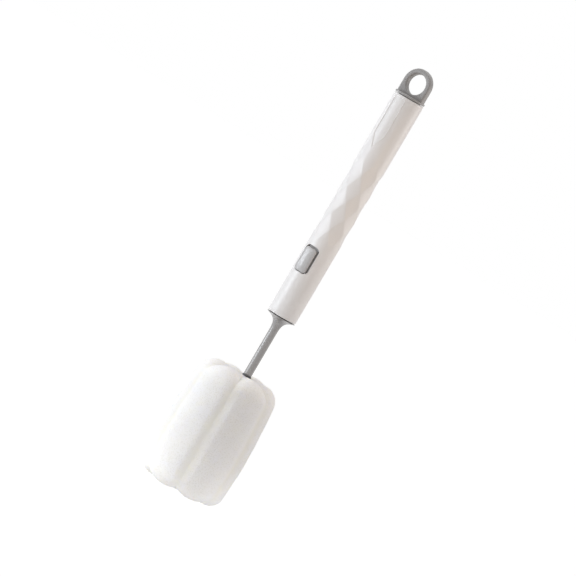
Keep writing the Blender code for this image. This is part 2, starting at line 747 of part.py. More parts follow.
def foam_sections():
    """(height, inset from the lobed outline) of each ring, from the foot to the top."""
    span = FOAM_LENGTH - FOAM_FOOT_SHOULDER - FOAM_TOP_SHOULDER
    sections = [(0.0, FOAM_FOOT_RADIUS - FOAM_FOOT_FLAT)] + shoulder_sections(FOAM_FOOT_SHOULDER)
    for i in range(1, FOAM_BODY_STEPS):
        sections.append((FOAM_FOOT_SHOULDER + span * i / FOAM_BODY_STEPS, 0.0))
    for drop, inset in reversed(shoulder_sections(FOAM_TOP_SHOULDER)):
        sections.append((FOAM_LENGTH - drop, inset))
    return sections


def foam_angles():
    """(angle, distance from the nearest groove) round the foam, closer together in the grooves."""
    lobe = math.tau / FOAM_LOBES
    lobe_middle = lobe * FOAM_WAIST_RADIUS / 2
    between = (lobe_middle + GROOVE_HALF_WIDTH) / 2
    distances = [GROOVE_HALF_WIDTH * station for station in GROOVE_STATIONS]
    distances += [between, lobe_middle]
    places = []
    for k in range(FOAM_LOBES):
        groove = FRONT + lobe * (k + 0.5)
        for distance in distances:
            places.append((groove + distance / FOAM_WAIST_RADIUS, distance))
        for distance in reversed(distances[1:-1]):
            places.append((groove + lobe - distance / FOAM_WAIST_RADIUS, distance))
    return places


def foam_point(section, place):
    """A point of the foam's skin. Each lobe's ends are domed, round a flat spot in the foot."""
    height, inset = section
    angle, distance = place
    depth = GROOVE_REACH * groove_closeness(distance) * groove_share(height)
    radius = foam_envelope(height) - inset - depth
    lobe_middle = math.pi / FOAM_LOBES * FOAM_WAIST_RADIUS
    dome = (1 - distance / lobe_middle) ** LOBE_DOME_POWER
    low = LOBE_FOOT_DOME * dome if inset < FOAM_FOOT_RADIUS - FOAM_FOOT_FLAT else 0.0
    high = FOAM_LENGTH - LOBE_TOP_DOME * dome
    z = low + height * (high - low) / FOAM_LENGTH
    return (radius * math.cos(angle), radius * math.sin(angle), z)


def foam_mesh():
    """A ball of rings and columns, drawn out to the lobed and grooved foam."""
    sections = foam_sections()
    places = foam_angles()

    def build(shape):
        made = bmesh.ops.create_uvsphere(
            shape, u_segments=len(places), v_segments=len(sections) + 1, radius=1
        )
        rings = {}
        for vertex in made["verts"]:
            rings.setdefault(round(vertex.co.z, 5), []).append(vertex)
        levels = sorted(rings)
        rings[levels[0]][0].co = (0, 0, 0)
        rings[levels[-1]][0].co = (0, 0, FOAM_LENGTH - FOAM_DIP)
        for level, section in zip(levels[1:-1], sections):
            ring = sorted(rings[level], key=lambda vertex: math.atan2(vertex.co.y, vertex.co.x) % math.tau)
            for vertex, place in zip(ring, places):
                vertex.co = foam_point(section, place)
        bmesh.ops.recalc_face_normals(shape, faces=shape.faces)

    mesh = mesh_from("sponge", build)
    mesh.shade_smooth()
    return mesh


def build_sponge(datum):
    foam = make_material("white_foam", FOAM_WHITE, 0.95)
    sponge = add_object("sponge", foam_mesh(), datum, foam)
    hollow = [(0, 2 * FOAM_LENGTH), (CORE_RADIUS + FIT_GAP, 2 * FOAM_LENGTH)]
    hollow += core_outer_profile(FIT_GAP)[1:]
    cut(sponge, "core_hollow", turned_mesh("core_hollow", hollow, SMALL_STEPS))


def main():
    handle_datum = make_datum("handle_datum", HANDLE_BASE)
    button_datum = make_datum("button_datum", HANDLE_BASE + BUTTON_HEIGHT)
    head_datum = make_datum("head_datum", 0)
    build_handle(handle_datum)
    build_end_cap(handle_datum)
    build_socket_insert(handle_datum)
    build_latch_spring(handle_datum)
    build_button_spring(handle_datum)
    build_release_button(button_datum)
    build_stem(head_datum)
    build_foam_core(head_datum)
    build_sponge(head_datum)


clear_scene()
PARTS = make_collection("bottle_brush")
CUTTERS = make_collection("cutters")
main()
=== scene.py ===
"""The looks of a bottle brush: faceted handle, hanging loop, release button and lobed foam head."""

import math

import bmesh
import bpy
from mathutils import Matrix, Vector, noise


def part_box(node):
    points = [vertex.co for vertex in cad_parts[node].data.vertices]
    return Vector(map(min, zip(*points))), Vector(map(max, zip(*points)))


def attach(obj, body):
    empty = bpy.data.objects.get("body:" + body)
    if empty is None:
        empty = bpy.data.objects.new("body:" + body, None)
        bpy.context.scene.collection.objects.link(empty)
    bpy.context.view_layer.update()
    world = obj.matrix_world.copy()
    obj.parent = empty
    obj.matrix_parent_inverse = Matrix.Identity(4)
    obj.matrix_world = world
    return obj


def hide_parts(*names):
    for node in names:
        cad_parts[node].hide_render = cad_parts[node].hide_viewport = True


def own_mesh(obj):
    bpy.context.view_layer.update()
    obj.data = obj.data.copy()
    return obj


bl_info = {
    "name": "Bottle Brush",
    "version": (1, 0, 0),
    "blender": (4, 5, 0),
    "location": "View3D > Sidebar > Brush",
    "description": "Builds a bottle brush with a faceted handle and a lobed foam head",
    "category": "Add Mesh",
}

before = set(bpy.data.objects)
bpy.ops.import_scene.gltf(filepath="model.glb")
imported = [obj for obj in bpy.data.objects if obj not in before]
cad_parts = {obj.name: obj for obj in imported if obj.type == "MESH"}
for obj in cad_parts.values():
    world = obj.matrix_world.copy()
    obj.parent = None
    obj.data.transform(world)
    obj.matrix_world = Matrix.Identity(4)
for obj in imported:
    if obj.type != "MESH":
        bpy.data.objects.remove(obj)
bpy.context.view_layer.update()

HANDLE_LOW, HANDLE_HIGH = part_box("handle_shell")
CAP_LOW, CAP_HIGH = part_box("end_cap")
INSERT_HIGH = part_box("socket_insert")[1]
STEM_LOW, STEM_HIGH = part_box("stem")
CORE_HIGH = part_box("foam_core")[1]
FOAM_LOW, FOAM_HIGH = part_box("sponge")
BUTTON_LOW, BUTTON_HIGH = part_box("release_button")
COIL_LOW, COIL_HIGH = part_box("button_spring")
LATCH_LOW, LATCH_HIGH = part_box("latch_spring")

HANDLE_TALL = HANDLE_HIGH[2] - HANDLE_LOW[2]
FOAM_TALL = FOAM_HIGH[2] - FOAM_LOW[2]
LATCH_LEVEL = (LATCH_LOW[2] + LATCH_HIGH[2]) / 2
LATCH_WIRE = (LATCH_HIGH[2] - LATCH_LOW[2]) / 2

FRONT = math.radians(-90)
FIT_GAP = 0.0003
OVERCUT = 0.001
MERGE_DISTANCE = 0.000002
SHARP_ANGLE = math.radians(32)
FOAM_SHARP_ANGLE = math.radians(75)
TURNED_STEPS = 96
COLLAR_STEPS = 128

# Slot: (its colour in Finishes, roughness, grain, scuffs, rubbed edges, IOR)
PLASTICS = {
    "white_plastic": ("white", 0.34, 0.5, 0.5, 0.25, 1.49),
    "dark_grey_plastic": ("dark_grey", 0.42, 0.5, 0.6, 0.6, 1.55),
    "grey_plastic": ("grey", 0.30, 0.4, 0.6, 0.5, 2.0),
    "button_plastic": ("button", 0.34, 0.5, 0.6, 0.4, 1.8),
    "inner_plastic": ("inner", 0.5, 1.0, 0.4, 0.3, 1.49),
}

# The tube tree's inputs that are named as in HandleSizes
TUBE_LENGTHS = ("Foot Radius", "Top Radius", "Edge", "Facet Start", "Facet Pitch", "Facet Turn")
TUBE_COUNTS = ("Columns", "Divisions", "Rows", "Softness")

# (scale of the noise, reach) of the unevenness of cut foam
FOAM_SWELLS = ((70.0, 0.00025), (240.0, 0.00008), (900.0, 0.00006))

# Lamp: (degrees round the brush from the camera, distance, height, (width, height), power, tint).
# Glow is a small one at the facets; foot, heel and toe are small ones at the middle, left and
# right of the foam's foot.
LAMPS = {
    "key": (-74, 0.55, 0.17, (0.3, 0.24), 1.38, (0.89, 0.945, 1.0)),
    "back": (-118, 0.5, 0.40, (0.12, 0.3), 0.38, (0.93, 0.965, 1.0)),
    "warm": (100, 0.4, 0.31, (0.25, 0.25), 0.42, (1.0, 0.95, 0.93)),
    "top": (-90, 0.1, 1.0, (0.5, 0.5), 2.0, (1.0, 1.0, 1.0)),
    "glow": (35, 0.16, 0.255, (0.08, 0.08), 0.037, (1.0, 0.70, 0.40)),
    "foot": (-2, 0.085, 0.008, (0.26, 0.014), 0.009, (1.0, 1.0, 1.0)),
    "heel": (-62, 0.058, 0.0035, (0.06, 0.005), 0.0017, (1.0, 1.0, 1.0)),
    "toe": (56, 0.058, 0.0035, (0.06, 0.005), 0.0020, (1.0, 1.0, 1.0)),
}
LEVEL_LAMPS = ("glow", "foot", "heel", "toe")


def real(name, description, default, **settings):
    return bpy.props.FloatProperty(name=name, description=description, default=default, **settings)


def reals(name, description, default, **settings):
    settings.update(name=name, description=description, default=default, size=len(default))
    return bpy.props.FloatVectorProperty(**settings)


def count(name, description, default):
    return bpy.props.IntProperty(name=name, description=description, default=default, min=1)


def length(name, description, default):
    return real(name, description, default, unit="LENGTH", precision=5)


def share(name, description, default):
    return real(name, description, default, min=0.0, max=1.0)


def number(name, description, default):
    return real(name, description, default, min=0.0)


def turn(name, description, degrees):
    return real(name, description, math.radians(degrees), subtype="ANGLE")


def power(name, description, default):
    return real(name, description, default, min=0.0, subtype="POWER")


def pair(name, description, default):
    return reals(name, description, default, unit="LENGTH")


def colour(name, description, default):
    return reals(name, description, default, subtype="COLOR")


class HandleSizes(bpy.types.PropertyGroup):
    """Sizes of the handle tube, its facets and its panel."""

    foot_radius: length("Foot radius", "Outer radius at the lower end", 0.0113)
    top_radius: length("Top radius", "Outer radius at the upper end", 0.0118)
    edge: length("End rounding", "Radius of the tube's end edges", 0.0005)
    seat_bore: length("Seat bore", "Bore that holds the socket and the cap", 0.0092)
    land_bore: length("Land bore", "Bore between the socket and the cap", 0.0086)
    columns: count("Facet columns", "Diamond corners round the tube", 12)
    rows: count("Facet rows", "Diamonds along the tube", 3)
    divisions: count("Divisions", "Points along half a diamond", 12)
    facet_start: length("Facet start", "Lowest diamond corner above the tube's foot", 0.0609)
    facet_pitch: length("Facet pitch", "Length of a diamond", 0.0218)
    facet_turn: turn("Facet turn", "Turn of the diamond corners from the front", -7.5)
    softness: count("Ridge softness", "Smoothing passes over the ridges", 1)
    panel_top: length("Panel margin", "Gap from the tube's top to the panel", 0.0017)
    panel_side: length("Panel side", "Straight side of the panel", 0.0302)
    panel_point: length("Panel point", "Length of the panel's pointed foot", 0.0105)
    panel_half: length("Panel half width", "Half the panel's width", 0.0047)
    panel_corner: length("Panel corner", "Corner radius of the panel", 0.0012)
    panel_depth: length("Panel depth", "Depth of the panel's floor", 0.00025)
    bead: length("Bead radius", "Radius of the bead round the panel", 0.00045)


class ButtonSizes(bpy.types.PropertyGroup):
    """Sizes of the button, its coil and its window in the tube."""

    height: length("Height", "Middle of the button above the tube's foot", 0.0442)
    window_lift: length("Window lift", "Window's middle above the button's", 0.0007)
    travel: length("Travel", "How far the button goes in", 0.0018)
    window_length: length("Window length", "Length of the window", 0.0211)
    window_width: length("Window width", "Width of the window", 0.0120)
    window_corner: length("Window corner", "Corner radius of the window", 0.0033)
    rim: length("Rim rounding", "Rounding of the window's edge", 0.0003)
    gap: length("Gap", "Gap between button and window", 0.0011)
    rise: length("Rise", "Crown height over the tube's surface", 0.0016)
    arch: length("Arch radius", "Radius of the crown along the button", 0.055)
    rounding: length("Edge rounding", "Rounding of the crown's edge", 0.0007)
    taper: length("Taper", "How far the button's sides draw in towards its back", 0.0009)
    lip: length("Lip", "Thickness of the lips that hold the button in", 0.0015)
    lip_half: length("Lip half width", "Half the width of the lips", 0.0042)
    coil_wire: length("Coil wire", "Radius of the coil's wire", 0.00035)
    coil_turns: number("Coil turns", "Turns of the coil", 6.0)


class CapSizes(bpy.types.PropertyGroup):
    """Sizes of the end cap and its loop."""

    collar_height: length("Collar height", "Height of the collar", 0.0015)
    parting: length("Parting", "Gap between the collar and the tube", 0.0005)
    loop_foot: length("Loop foot", "Material under the hole", 0.0019)
    hole_radius: length("Hole radius", "Radius of the hanging hole", 0.0078)
    band: length("Band", "Width of the loop's band", 0.0039)
    thickness: length("Thickness", "Thickness of the loop", 0.0055)
    edge: length("Edge rounding", "Rounding of the loop's edges", 0.0013)
    plug_wall: length("Plug wall", "Wall of the hollow plug", 0.0022)


class HeadSizes(bpy.types.PropertyGroup):
    """Sizes of the stem and the foam head."""

    rod_radius: length("Rod radius", "Radius of the bare rod", 0.0031)
    flange_gap: length("Flange gap", "Gap between the flange and the tube", 0.0007)
    flange_rim: length("Flange rim", "Thickness of the flange's rim", 0.0003)
    flare_decay: length("Flare decay", "Drop in which the flare loses two thirds of its reach", 0.0023)
    flare_length: length("Flare length", "Length of the flare", 0.0115)
    tang_radius: length("Tang radius", "Radius of the tang in the socket", 0.0036)
    tang_groove: length("Tang groove", "Depth of the latch groove", 0.0006)
    spigot_radius: length("Spigot radius", "Radius of the stem's end in the core", 0.0022)
    key_half: length("Key half width", "Half the width of the key beside the tang", 0.0012)
    key_reach: length("Key reach", "Reach of the key from the axis", 0.0056)
    key_length: length("Key length", "Length of the key in the socket", 0.0070)
    core_radius: length("Core radius", "Radius of the foam's core", 0.0035)
    lobes: count("Lobes", "Lobes round the foam", 6)
    waist_radius: length("Widest radius", "Foam radius at its widest", 0.0334)
    top_radius: length("Top radius", "Foam radius at its top, over the shoulder", 0.0296)
    foot_radius: length("Foot radius", "Foam radius at its foot, over the shoulder", 0.0308)
    widest: length("Widest height", "Height of the widest place", 0.036)
    top_shoulder: length("Top shoulder", "Rounding of the foam's top", 0.0108)
    foot_shoulder: length("Foot shoulder", "Rounding of the foam's foot", 0.0090)
    foot_flat: length("Foot flat", "Radius of the flat spot in the foam's foot", 0.0060)
    dip: length("Dip", "Dip of the top round the stem", 0.0010)
    groove_half: length("Groove half width", "Half the width of a groove", 0.0070)
    groove_reach: length("Groove depth", "Depth of a groove", 0.0013)
    groove_rim: share("Groove rim", "Share of a groove's side that rounds over to the lobe", 0.32)
    groove_bed: share("Groove bed", "Share of a groove's side that rounds into its bed", 0.25)
    groove_fade: length("Groove fade", "Length in which a groove fades out at each end", 0.024)
    top_dome: length("Top dome", "How far a lobe's top drops to the grooves", 0.0042)
    foot_dome: length("Foot dome", "How far a lobe's foot rises to the grooves", 0.0030)
    dome_power: number("Dome shape", "How much of a dome's slope lies beside the grooves", 2.4)
    set_back: length("Set", "How far the soft foam sits off the stem's axis", 0.0024)
    foam_columns: count("Foam columns", "Points round the foam", 360)
    foam_spacing: length("Foam spacing", "Spacing of the foam's rings", 0.0007)


class Finishes(bpy.types.PropertyGroup):
    """Colours of the brush's surfaces."""

    white: colour("White plastic", "Handle tube", (0.80, 0.788, 0.78))
    dark_grey: colour("Dark grey plastic", "End cap", (0.30, 0.293, 0.288))
    grey: colour("Grey plastic", "Stem", (0.28, 0.272, 0.268))
    button: colour("Button plastic", "Release button", (0.43, 0.425, 0.425))
    inner: colour("Inner plastic", "Socket and core", (0.10, 0.10, 0.10))
    steel: colour("Spring steel", "Latch and coil", (0.56, 0.56, 0.58))
    foam: colour("Foam", "Foam head", (0.94, 0.93, 0.915))
    foam_pore: colour("Foam pores", "Shade in the foam's pores", (0.70, 0.67, 0.58))
    # Painted shade: a yellowish darkening deep in the foam's grooves, for the light that scatters and
    # bounces there
    foam_groove_shade: colour("Foam grooves", "Tone deep in the foam's grooves", (0.915, 0.90, 0.85))


class StageSettings(bpy.types.PropertyGroup):
    """Camera, floor and room; lamp_properties adds the lamps."""

    azimuth: turn("Azimuth", "Camera angle round the brush from its front", 32)
    elevation: turn("Elevation", "Camera angle above the horizon", 3.8)
    lean: turn("Lean", "Lean of the brush in the picture", 30.4)
    distance: length("Distance", "Camera distance", 3.0)
    picture_width: length("Picture width", "Width that the picture spans at the brush", 0.4114)
    aim_along: length("Aim along", "Picture centre above the handle's foot", 0.0197)
    aim_across: length("Aim across", "Picture centre to the right of the brush's axis", -0.0064)
    floor_half: length("Floor half width", "Half the floor's width", 6.0)
    floor_drop: length("Floor drop", "Floor below the foot, clear of the released head", 0.047)
    sky_level: share("Sky level", "Strength of the room's light on the brush", 0.435)


LAMP_PARTS = {
    "angle": (turn, "place round the brush from the camera"),
    "distance": (length, "distance from the brush's axis"),
    "height": (length, "middle above the foot"),
    "size": (pair, "width and height"),
    "power": (power, "power"),
    "tint": (colour, "colour"),
}


def lamp_properties():
    """A property for every part of every lamp, such as key_angle."""
    properties = {}
    for lamp, values in LAMPS.items():
        for (part, (make, description)), value in zip(LAMP_PARTS.items(), values):
            label = f"{lamp} {part}".capitalize()
            properties[f"{lamp}_{part}"] = make(label, f"The {lamp} lamp's {description}", value)
    return properties


StageSettings.__annotations__.update(lamp_properties())


class Graph:
    """Adds nodes to a tree and joins them."""

    def __init__(self, tree):
        self.tree = tree

    def feed(self, socket, value):
        if isinstance(value, bpy.types.NodeSocket):
            self.tree.links.new(value, socket)
        else:
            socket.default_value = value

    def add(self, kind, inputs=None, **settings):
        node = self.tree.nodes.new(kind)
        for name, value in settings.items():
            setattr(node, name, value)
        for key, value in (inputs or {}).items():
            self.feed(node.inputs[key], value)
        return node

    def maths(self, operation, *values):
        inputs = dict(enumerate(values))
        return self.add("ShaderNodeMath", inputs, operation=operation).outputs[0]

    def plus(self, a, b):
        return self.maths("ADD", a, b)

    def minus(self, a, b):
        return self.maths("SUBTRACT", a, b)

    def times(self, a, b):
        return self.maths("MULTIPLY", a, b)

    def times_plus(self, a, b, c):
        return self.maths("MULTIPLY_ADD", a, b, c)

    def turned_point(self, x, y, z, angle):
        """A point turned about Z."""
        point = self.add("ShaderNodeCombineXYZ", {"X": x, "Y": y, "Z": z}).outputs[0]
        inputs = {"Vector": point, "Angle": angle}
        return self.add("ShaderNodeVectorRotate", inputs, rotation_type="Z_AXIS").outputs[0]

    def moved(self, mesh, position, **inputs):
        inputs.update(Geometry=mesh, Position=position)
        return self.add("GeometryNodeSetPosition", inputs).outputs[0]

    def swept(self, path, sides, radius):
        """A round bar along a curve, closed at its ends."""
        circle = {"Resolution": sides, "Radius": radius}
        profile = self.add("GeometryNodeCurvePrimitiveCircle", circle).outputs["Curve"]
        sweep = {"Curve": path, "Profile Curve": profile, "Fill Caps": True}
        return self.add("GeometryNodeCurveToMesh", sweep).outputs[0]

    def object_place(self):
        return self.add("ShaderNodeTexCoord").outputs["Object"]

    def noise(self, place, scale, detail):
        """A noise texture's outputs: its value, then its colour."""
        inputs = {"Vector": place, "Scale": scale, "Detail": detail}
        return self.add("ShaderNodeTexNoise", inputs).outputs

    def cells(self, place, scale):
        inputs = {"Vector": place, "Scale": scale}
        return self.add("ShaderNodeTexVoronoi", inputs).outputs["Distance"]

    def ramp(self, value, low, high):
        """0 to 1 as the value goes from low to high."""
        return self.add("ShaderNodeMapRange", {0: value, 1: low, 2: high}).outputs[0]

    def blend(self, factor, first, second):
        """Mixes two colours, each a socket or a plain colour."""
        inputs = {"Factor": factor}
        for key, end in ((6, first), (7, second)):
            inputs[key] = end if isinstance(end, bpy.types.NodeSocket) else (*end, 1.0)
        return self.add("ShaderNodeMix", inputs, data_type="RGBA").outputs[2]

    def shared(self, name, make, **values):
        """A node of a shared group, made once, with its plain inputs set."""
        group = bpy.data.node_groups.get(name) or make()
        return self.add("ShaderNodeGroup", values, node_tree=group).outputs


def new_geometry_tree(name, inputs):
    """A Geometry Nodes tree with named inputs: (name, socket type, default)."""
    tree = bpy.data.node_groups.new(name, "GeometryNodeTree")
    tree.is_modifier = True
    tree.interface.new_socket("Geometry", in_out="INPUT", socket_type="NodeSocketGeometry")
    for label, kind, default in inputs:
        socket = tree.interface.new_socket(label, in_out="INPUT", socket_type=kind)
        socket.default_value = default
    tree.interface.new_socket("Material", in_out="INPUT", socket_type="NodeSocketMaterial")
    tree.interface.new_socket("Geometry", in_out="OUTPUT", socket_type="NodeSocketGeometry")
    graph = Graph(tree)
    return tree, graph, graph.add("NodeGroupInput").outputs


def end_tree(graph, geometry, material):
    real_mesh = graph.add("GeometryNodeRealizeInstances", {"Geometry": geometry}).outputs[0]
    inputs = {"Geometry": real_mesh, "Material": material}
    done = graph.add("GeometryNodeSetMaterial", inputs).outputs[0]
    graph.add("NodeGroupOutput", {0: done})


def linked(name, data):
    """A new object in the scene."""
    thing = bpy.data.objects.new(name, data)
    bpy.context.scene.collection.objects.link(thing)
    return thing


def plain_mesh(name, maker):
    """The evaluated object's mesh, with the maker removed."""
    graph = bpy.context.evaluated_depsgraph_get()
    mesh = bpy.data.meshes.new_from_object(maker.evaluated_get(graph), depsgraph=graph)
    mesh.name = name
    bpy.data.objects.remove(maker, do_unlink=True)
    return mesh


def grown_mesh(name, start, tree, values):
    """Runs a Geometry Nodes tree on a mesh, with its named inputs set by identifier."""
    maker = linked(name + "_maker", start)
    modifier = maker.modifiers.new("Grow", "NODES")
    modifier.node_group = tree
    sockets = {}
    for item in tree.interface.items_tree:
        if item.item_type == "SOCKET" and item.in_out == "INPUT":
            sockets[item.name] = item.identifier
    for label, value in values.items():
        modifier[sockets[label]] = value
    mesh = plain_mesh(name, maker)
    edit_mesh(mesh, merged)
    return mesh


def edit_mesh(mesh, change):
    shape = bmesh.new()
    shape.from_mesh(mesh)
    change(shape)
    shape.to_mesh(mesh)
    shape.free()
    mesh.update()


def merged(shape):
    bmesh.ops.remove_doubles(shape, verts=shape.verts, dist=MERGE_DISTANCE)
    bmesh.ops.recalc_face_normals(shape, faces=shape.faces)


def line_mesh(name, points, closed=False):
    edges = [(i, i + 1) for i in range(len(points) - 1)]
    if closed:
        edges.append((len(points) - 1, 0))
    mesh = bpy.data.meshes.new(name)
    mesh.from_pydata(points, edges, [])
    return mesh


def turned(name, profile, steps):
    """Turns (radius, height) points about Z into a closed shape."""
    points = [(radius, 0, height) for radius, height in profile]
    maker = linked(name + "_maker", line_mesh(name, points))
    screw = maker.modifiers.new("Turn", "SCREW")
    screw.steps = steps
    screw.render_steps = steps
    screw.use_merge_vertices = True
    screw.merge_threshold = 0.00001
    mesh = plain_mesh(name, maker)
    edit_mesh(mesh, merged)
    return mesh


def box_mesh(name, low, high):
    def build(shape):
        bmesh.ops.create_cube(shape, size=1)
        for vertex in shape.verts:
            vertex.co = [high[k] if vertex.co[k] > 0 else low[k] for k in range(3)]

    mesh = bpy.data.meshes.new(name)
    edit_mesh(mesh, build)
    return mesh


def ring_mesh(name, rings):
    """Joins rings of points, each with as many, into a closed shape."""
    size = len(rings[0])
    points = [point for ring in rings for point in ring]
    faces = []
    for start in range(0, len(points) - size, size):
        for k in range(size):
            after = (k + 1) % size
            faces.append((start + k, start + after, start + size + after, start + size + k))
    faces.append(tuple(reversed(range(size))))
    faces.append(tuple(range(len(points) - size, len(points))))
    mesh = bpy.data.meshes.new(name)
    mesh.from_pydata(points, [], faces)
    edit_mesh(mesh, merged)
    return mesh


def combined(name, base, operations):
    """Applies Booleans, as (operation, mesh), to a base mesh."""
    maker = linked(name + "_maker", base)
    operands = []
    for i, (operation, mesh) in enumerate(operations):
        operands.append(linked(f"{name}_{i}_maker", mesh))
        modifier = maker.modifiers.new(f"Step {i}", "BOOLEAN")
        modifier.operation = operation
        modifier.solver = "EXACT"
        modifier.object = operands[-1]
    mesh = plain_mesh(name, maker)
    for operand in operands:
        bpy.data.objects.remove(operand, do_unlink=True)
    return mesh


def finish_piece(name, mesh, slot, body, node, angle=SHARP_ANGLE):
    """Makes a piece of a mesh, in its slot's finish, and hangs it on the frame."""
    mesh.materials.clear()
    mesh.materials.append(finish_of(slot))
    mesh.shade_smooth()
    mesh.set_sharp_from_angle(angle=angle)
    piece = linked(name, mesh)
    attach(piece, body)
    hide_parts(node)
    return piece


def arc(centre, radius, start, end, steps):
    points = []
    for i in range(steps + 1):
        angle = math.radians(start + (end - start) * i / steps)
        x = centre[0] + radius * math.cos(angle)
        points.append((x, centre[1] + radius * math.sin(angle)))
    return points


def quarter_round(radius, degrees):
    """(run, drop) round an edge at each angle, from (0, radius) at 0 to (radius, 0) at 90."""
    angles = [math.radians(angle) for angle in degrees]
    return [(radius * (1 - math.cos(angle)), radius * (1 - math.sin(angle))) for angle in angles]


def rounded_outline(half_width, half_length, corner, steps=10):
    """A rounded rectangle in (x, z); a corner radius of zero or less gives a point."""
    corner = max(corner, 0.0)
    x = half_width - corner
    z = half_length - corner
    points = []
    for sign_x, sign_z, start in ((1, 1, 0), (-1, 1, 90), (-1, -1, 180), (1, -1, 270)):
        points += arc((sign_x * x, sign_z * z), corner, start, start + 90, steps)
    return points


def ridge_split(shape, sizes):
    """Splits the facet zone's quads along the ridges, so that each ridge is a line of edges."""
    half_pitch = sizes.facet_pitch / 2
    for face in list(shape.faces):
        if len(face.verts) != 4:
            continue
        middle = face.calc_center_median()
        row = (middle.z - HANDLE_LOW[2] - sizes.facet_start) / half_pitch
        if not 0 < row < 2 * sizes.rows:
            continue
        angle = math.atan2(middle.y, middle.x) - FRONT - sizes.facet_turn
        column = angle / math.tau * sizes.columns
        rising = (math.floor(column) + math.floor(row)) % 2 == 0
        corners = sorted(face.verts, key=lambda vertex: vertex.co.z)
        heading = Vector((-middle.y, middle.x, 0))
        low = sorted(corners[:2], key=lambda vertex: vertex.co.dot(heading))
        high = sorted(corners[2:], key=lambda vertex: vertex.co.dot(heading))
        ends = (low[0], high[1]) if rising else (low[1], high[0])
        bmesh.utils.face_split(face, *ends)


def diamond_tube_tree():
    """A tube along a rail of heights, with dished diamonds whose corners lie on its surface."""
    inputs = [(label, "NodeSocketFloat", 0.01) for label in ("Base", "Length") + TUBE_LENGTHS]
    inputs += [(label, "NodeSocketInt", 1) for label in TUBE_COUNTS]
    tree, graph, given = new_geometry_tree("Diamond Tube", inputs)
    maths, plus, minus = graph.maths, graph.plus, graph.minus
    times, times_plus = graph.times, graph.times_plus
    edge = given["Edge"]
    rail = graph.add("GeometryNodeMeshToCurve", {"Mesh": given["Geometry"]}).outputs[0]
    tube = graph.swept(rail, times(given["Columns"], given["Divisions"]), 1.0)
    position = graph.add("GeometryNodeInputPosition").outputs[0]
    place = graph.add("ShaderNodeSeparateXYZ", {0: position}).outputs
    height = minus(place["Z"], given["Base"])
    along = maths("DIVIDE", height, given["Length"])
    growth = minus(given["Top Radius"], given["Foot Radius"])
    radius = times_plus(growth, along, given["Foot Radius"])
    step = maths("DIVIDE", math.tau, given["Columns"])
    front = plus(given["Facet Turn"], FRONT)
    angle = maths("ARCTAN2", place["Y"], place["X"])
    raw_column = maths("DIVIDE", minus(angle, front), step)
    half_pitch = times(given["Facet Pitch"], 0.5)
    raw_row = maths("DIVIDE", minus(height, given["Facet Start"]), half_pitch)
    # Every point goes to the nearest place of the diamonds' grid
    grid = maths("DIVIDE", 1.0, given["Divisions"])
    column = maths("SNAP", times_plus(grid, 0.5, raw_column), grid)
    row = maths("SNAP", times_plus(grid, 0.5, raw_row), grid)
    # On the zone's borders a point belongs to the diamond inside it
    border = 0.001
    upper = maths("GREATER_THAN", row, given["Rows"])
    nudge = times_plus(upper, -2 * border, border)
    a = times(plus(row, column), 0.5)
    b = times(minus(row, column), 0.5)
    corner_a = maths("FLOOR", plus(a, nudge))
    corner_b = maths("FLOOR", plus(b, nudge))
    # A diamond is a patch through four points of the tube, u and v run along its sides
    u = minus(a, corner_a)
    v = minus(b, corner_b)
    sideways = minus(plus(u, v), times(times(u, v), 2.0))
    dish = minus(1.0, maths("COSINE", step))
    out = times(radius, minus(1.0, times(sideways, dish)))
    across = times(times(radius, maths("SINE", step)), minus(u, v))
    centre = times_plus(minus(corner_a, corner_b), step, front)
    facet = graph.turned_point(out, across, place["Z"], centre)
    # Outside the diamonds the tube is plain, with rounded ends
    from_end = maths("MINIMUM", height, minus(given["Length"], height))
    short = minus(edge, maths("MINIMUM", from_end, edge))
    bow = minus(times(edge, edge), times(short, short))
    inset = minus(edge, maths("SQRT", maths("MAXIMUM", bow, 0.0)))
    around = times_plus(column, step, front)
    plain = graph.turned_point(minus(radius, inset), 0.0, place["Z"], around)
    foot = plus(corner_a, corner_b)
    last = minus(times(given["Rows"], 2.0), 1.5)
    inside = times(maths("GREATER_THAN", foot, -0.5), maths("LESS_THAN", foot, last))
    ends = {"Factor": inside, 4: plain, 5: facet}
    chosen = graph.add("ShaderNodeMix", ends, data_type="VECTOR").outputs[1]
    shaped = graph.moved(tube, chosen)
    # The ridges are softened, a little past the zone too
    margin = 0.15
    low = maths("GREATER_THAN", raw_row, -margin)
    top = maths("LESS_THAN", raw_row, times_plus(given["Rows"], 2.0, margin))
    held = graph.add("GeometryNodeCaptureAttribute")
    held.capture_items.new("FLOAT", "Zone")
    graph.feed(held.inputs["Geometry"], shaped)
    graph.feed(held.inputs["Zone"], times(low, top))
    blur_inputs = {"Iterations": given["Softness"], "Weight": 0.5}
    blur = graph.add("GeometryNodeBlurAttribute", blur_inputs, data_type="FLOAT_VECTOR")
    graph.feed(blur.inputs["Value"], graph.add("GeometryNodeInputPosition").outputs[0])
    soft = graph.moved(held.outputs["Geometry"], blur.outputs[0], Selection=held.outputs["Zone"])
    end_tree(graph, soft, given["Material"])
    return tree


def wire_tree():
    """A round wire along a path of edges."""
    inputs = [("Radius", "NodeSocketFloat", 0.001), ("Sides", "NodeSocketInt", 12)]
    tree, graph, given = new_geometry_tree("Wire On Path", inputs)
    path = graph.add("GeometryNodeMeshToCurve", {"Mesh": given["Geometry"]}).outputs[0]
    end_tree(graph, graph.swept(path, given["Sides"], given["Radius"]), given["Material"])
    return tree


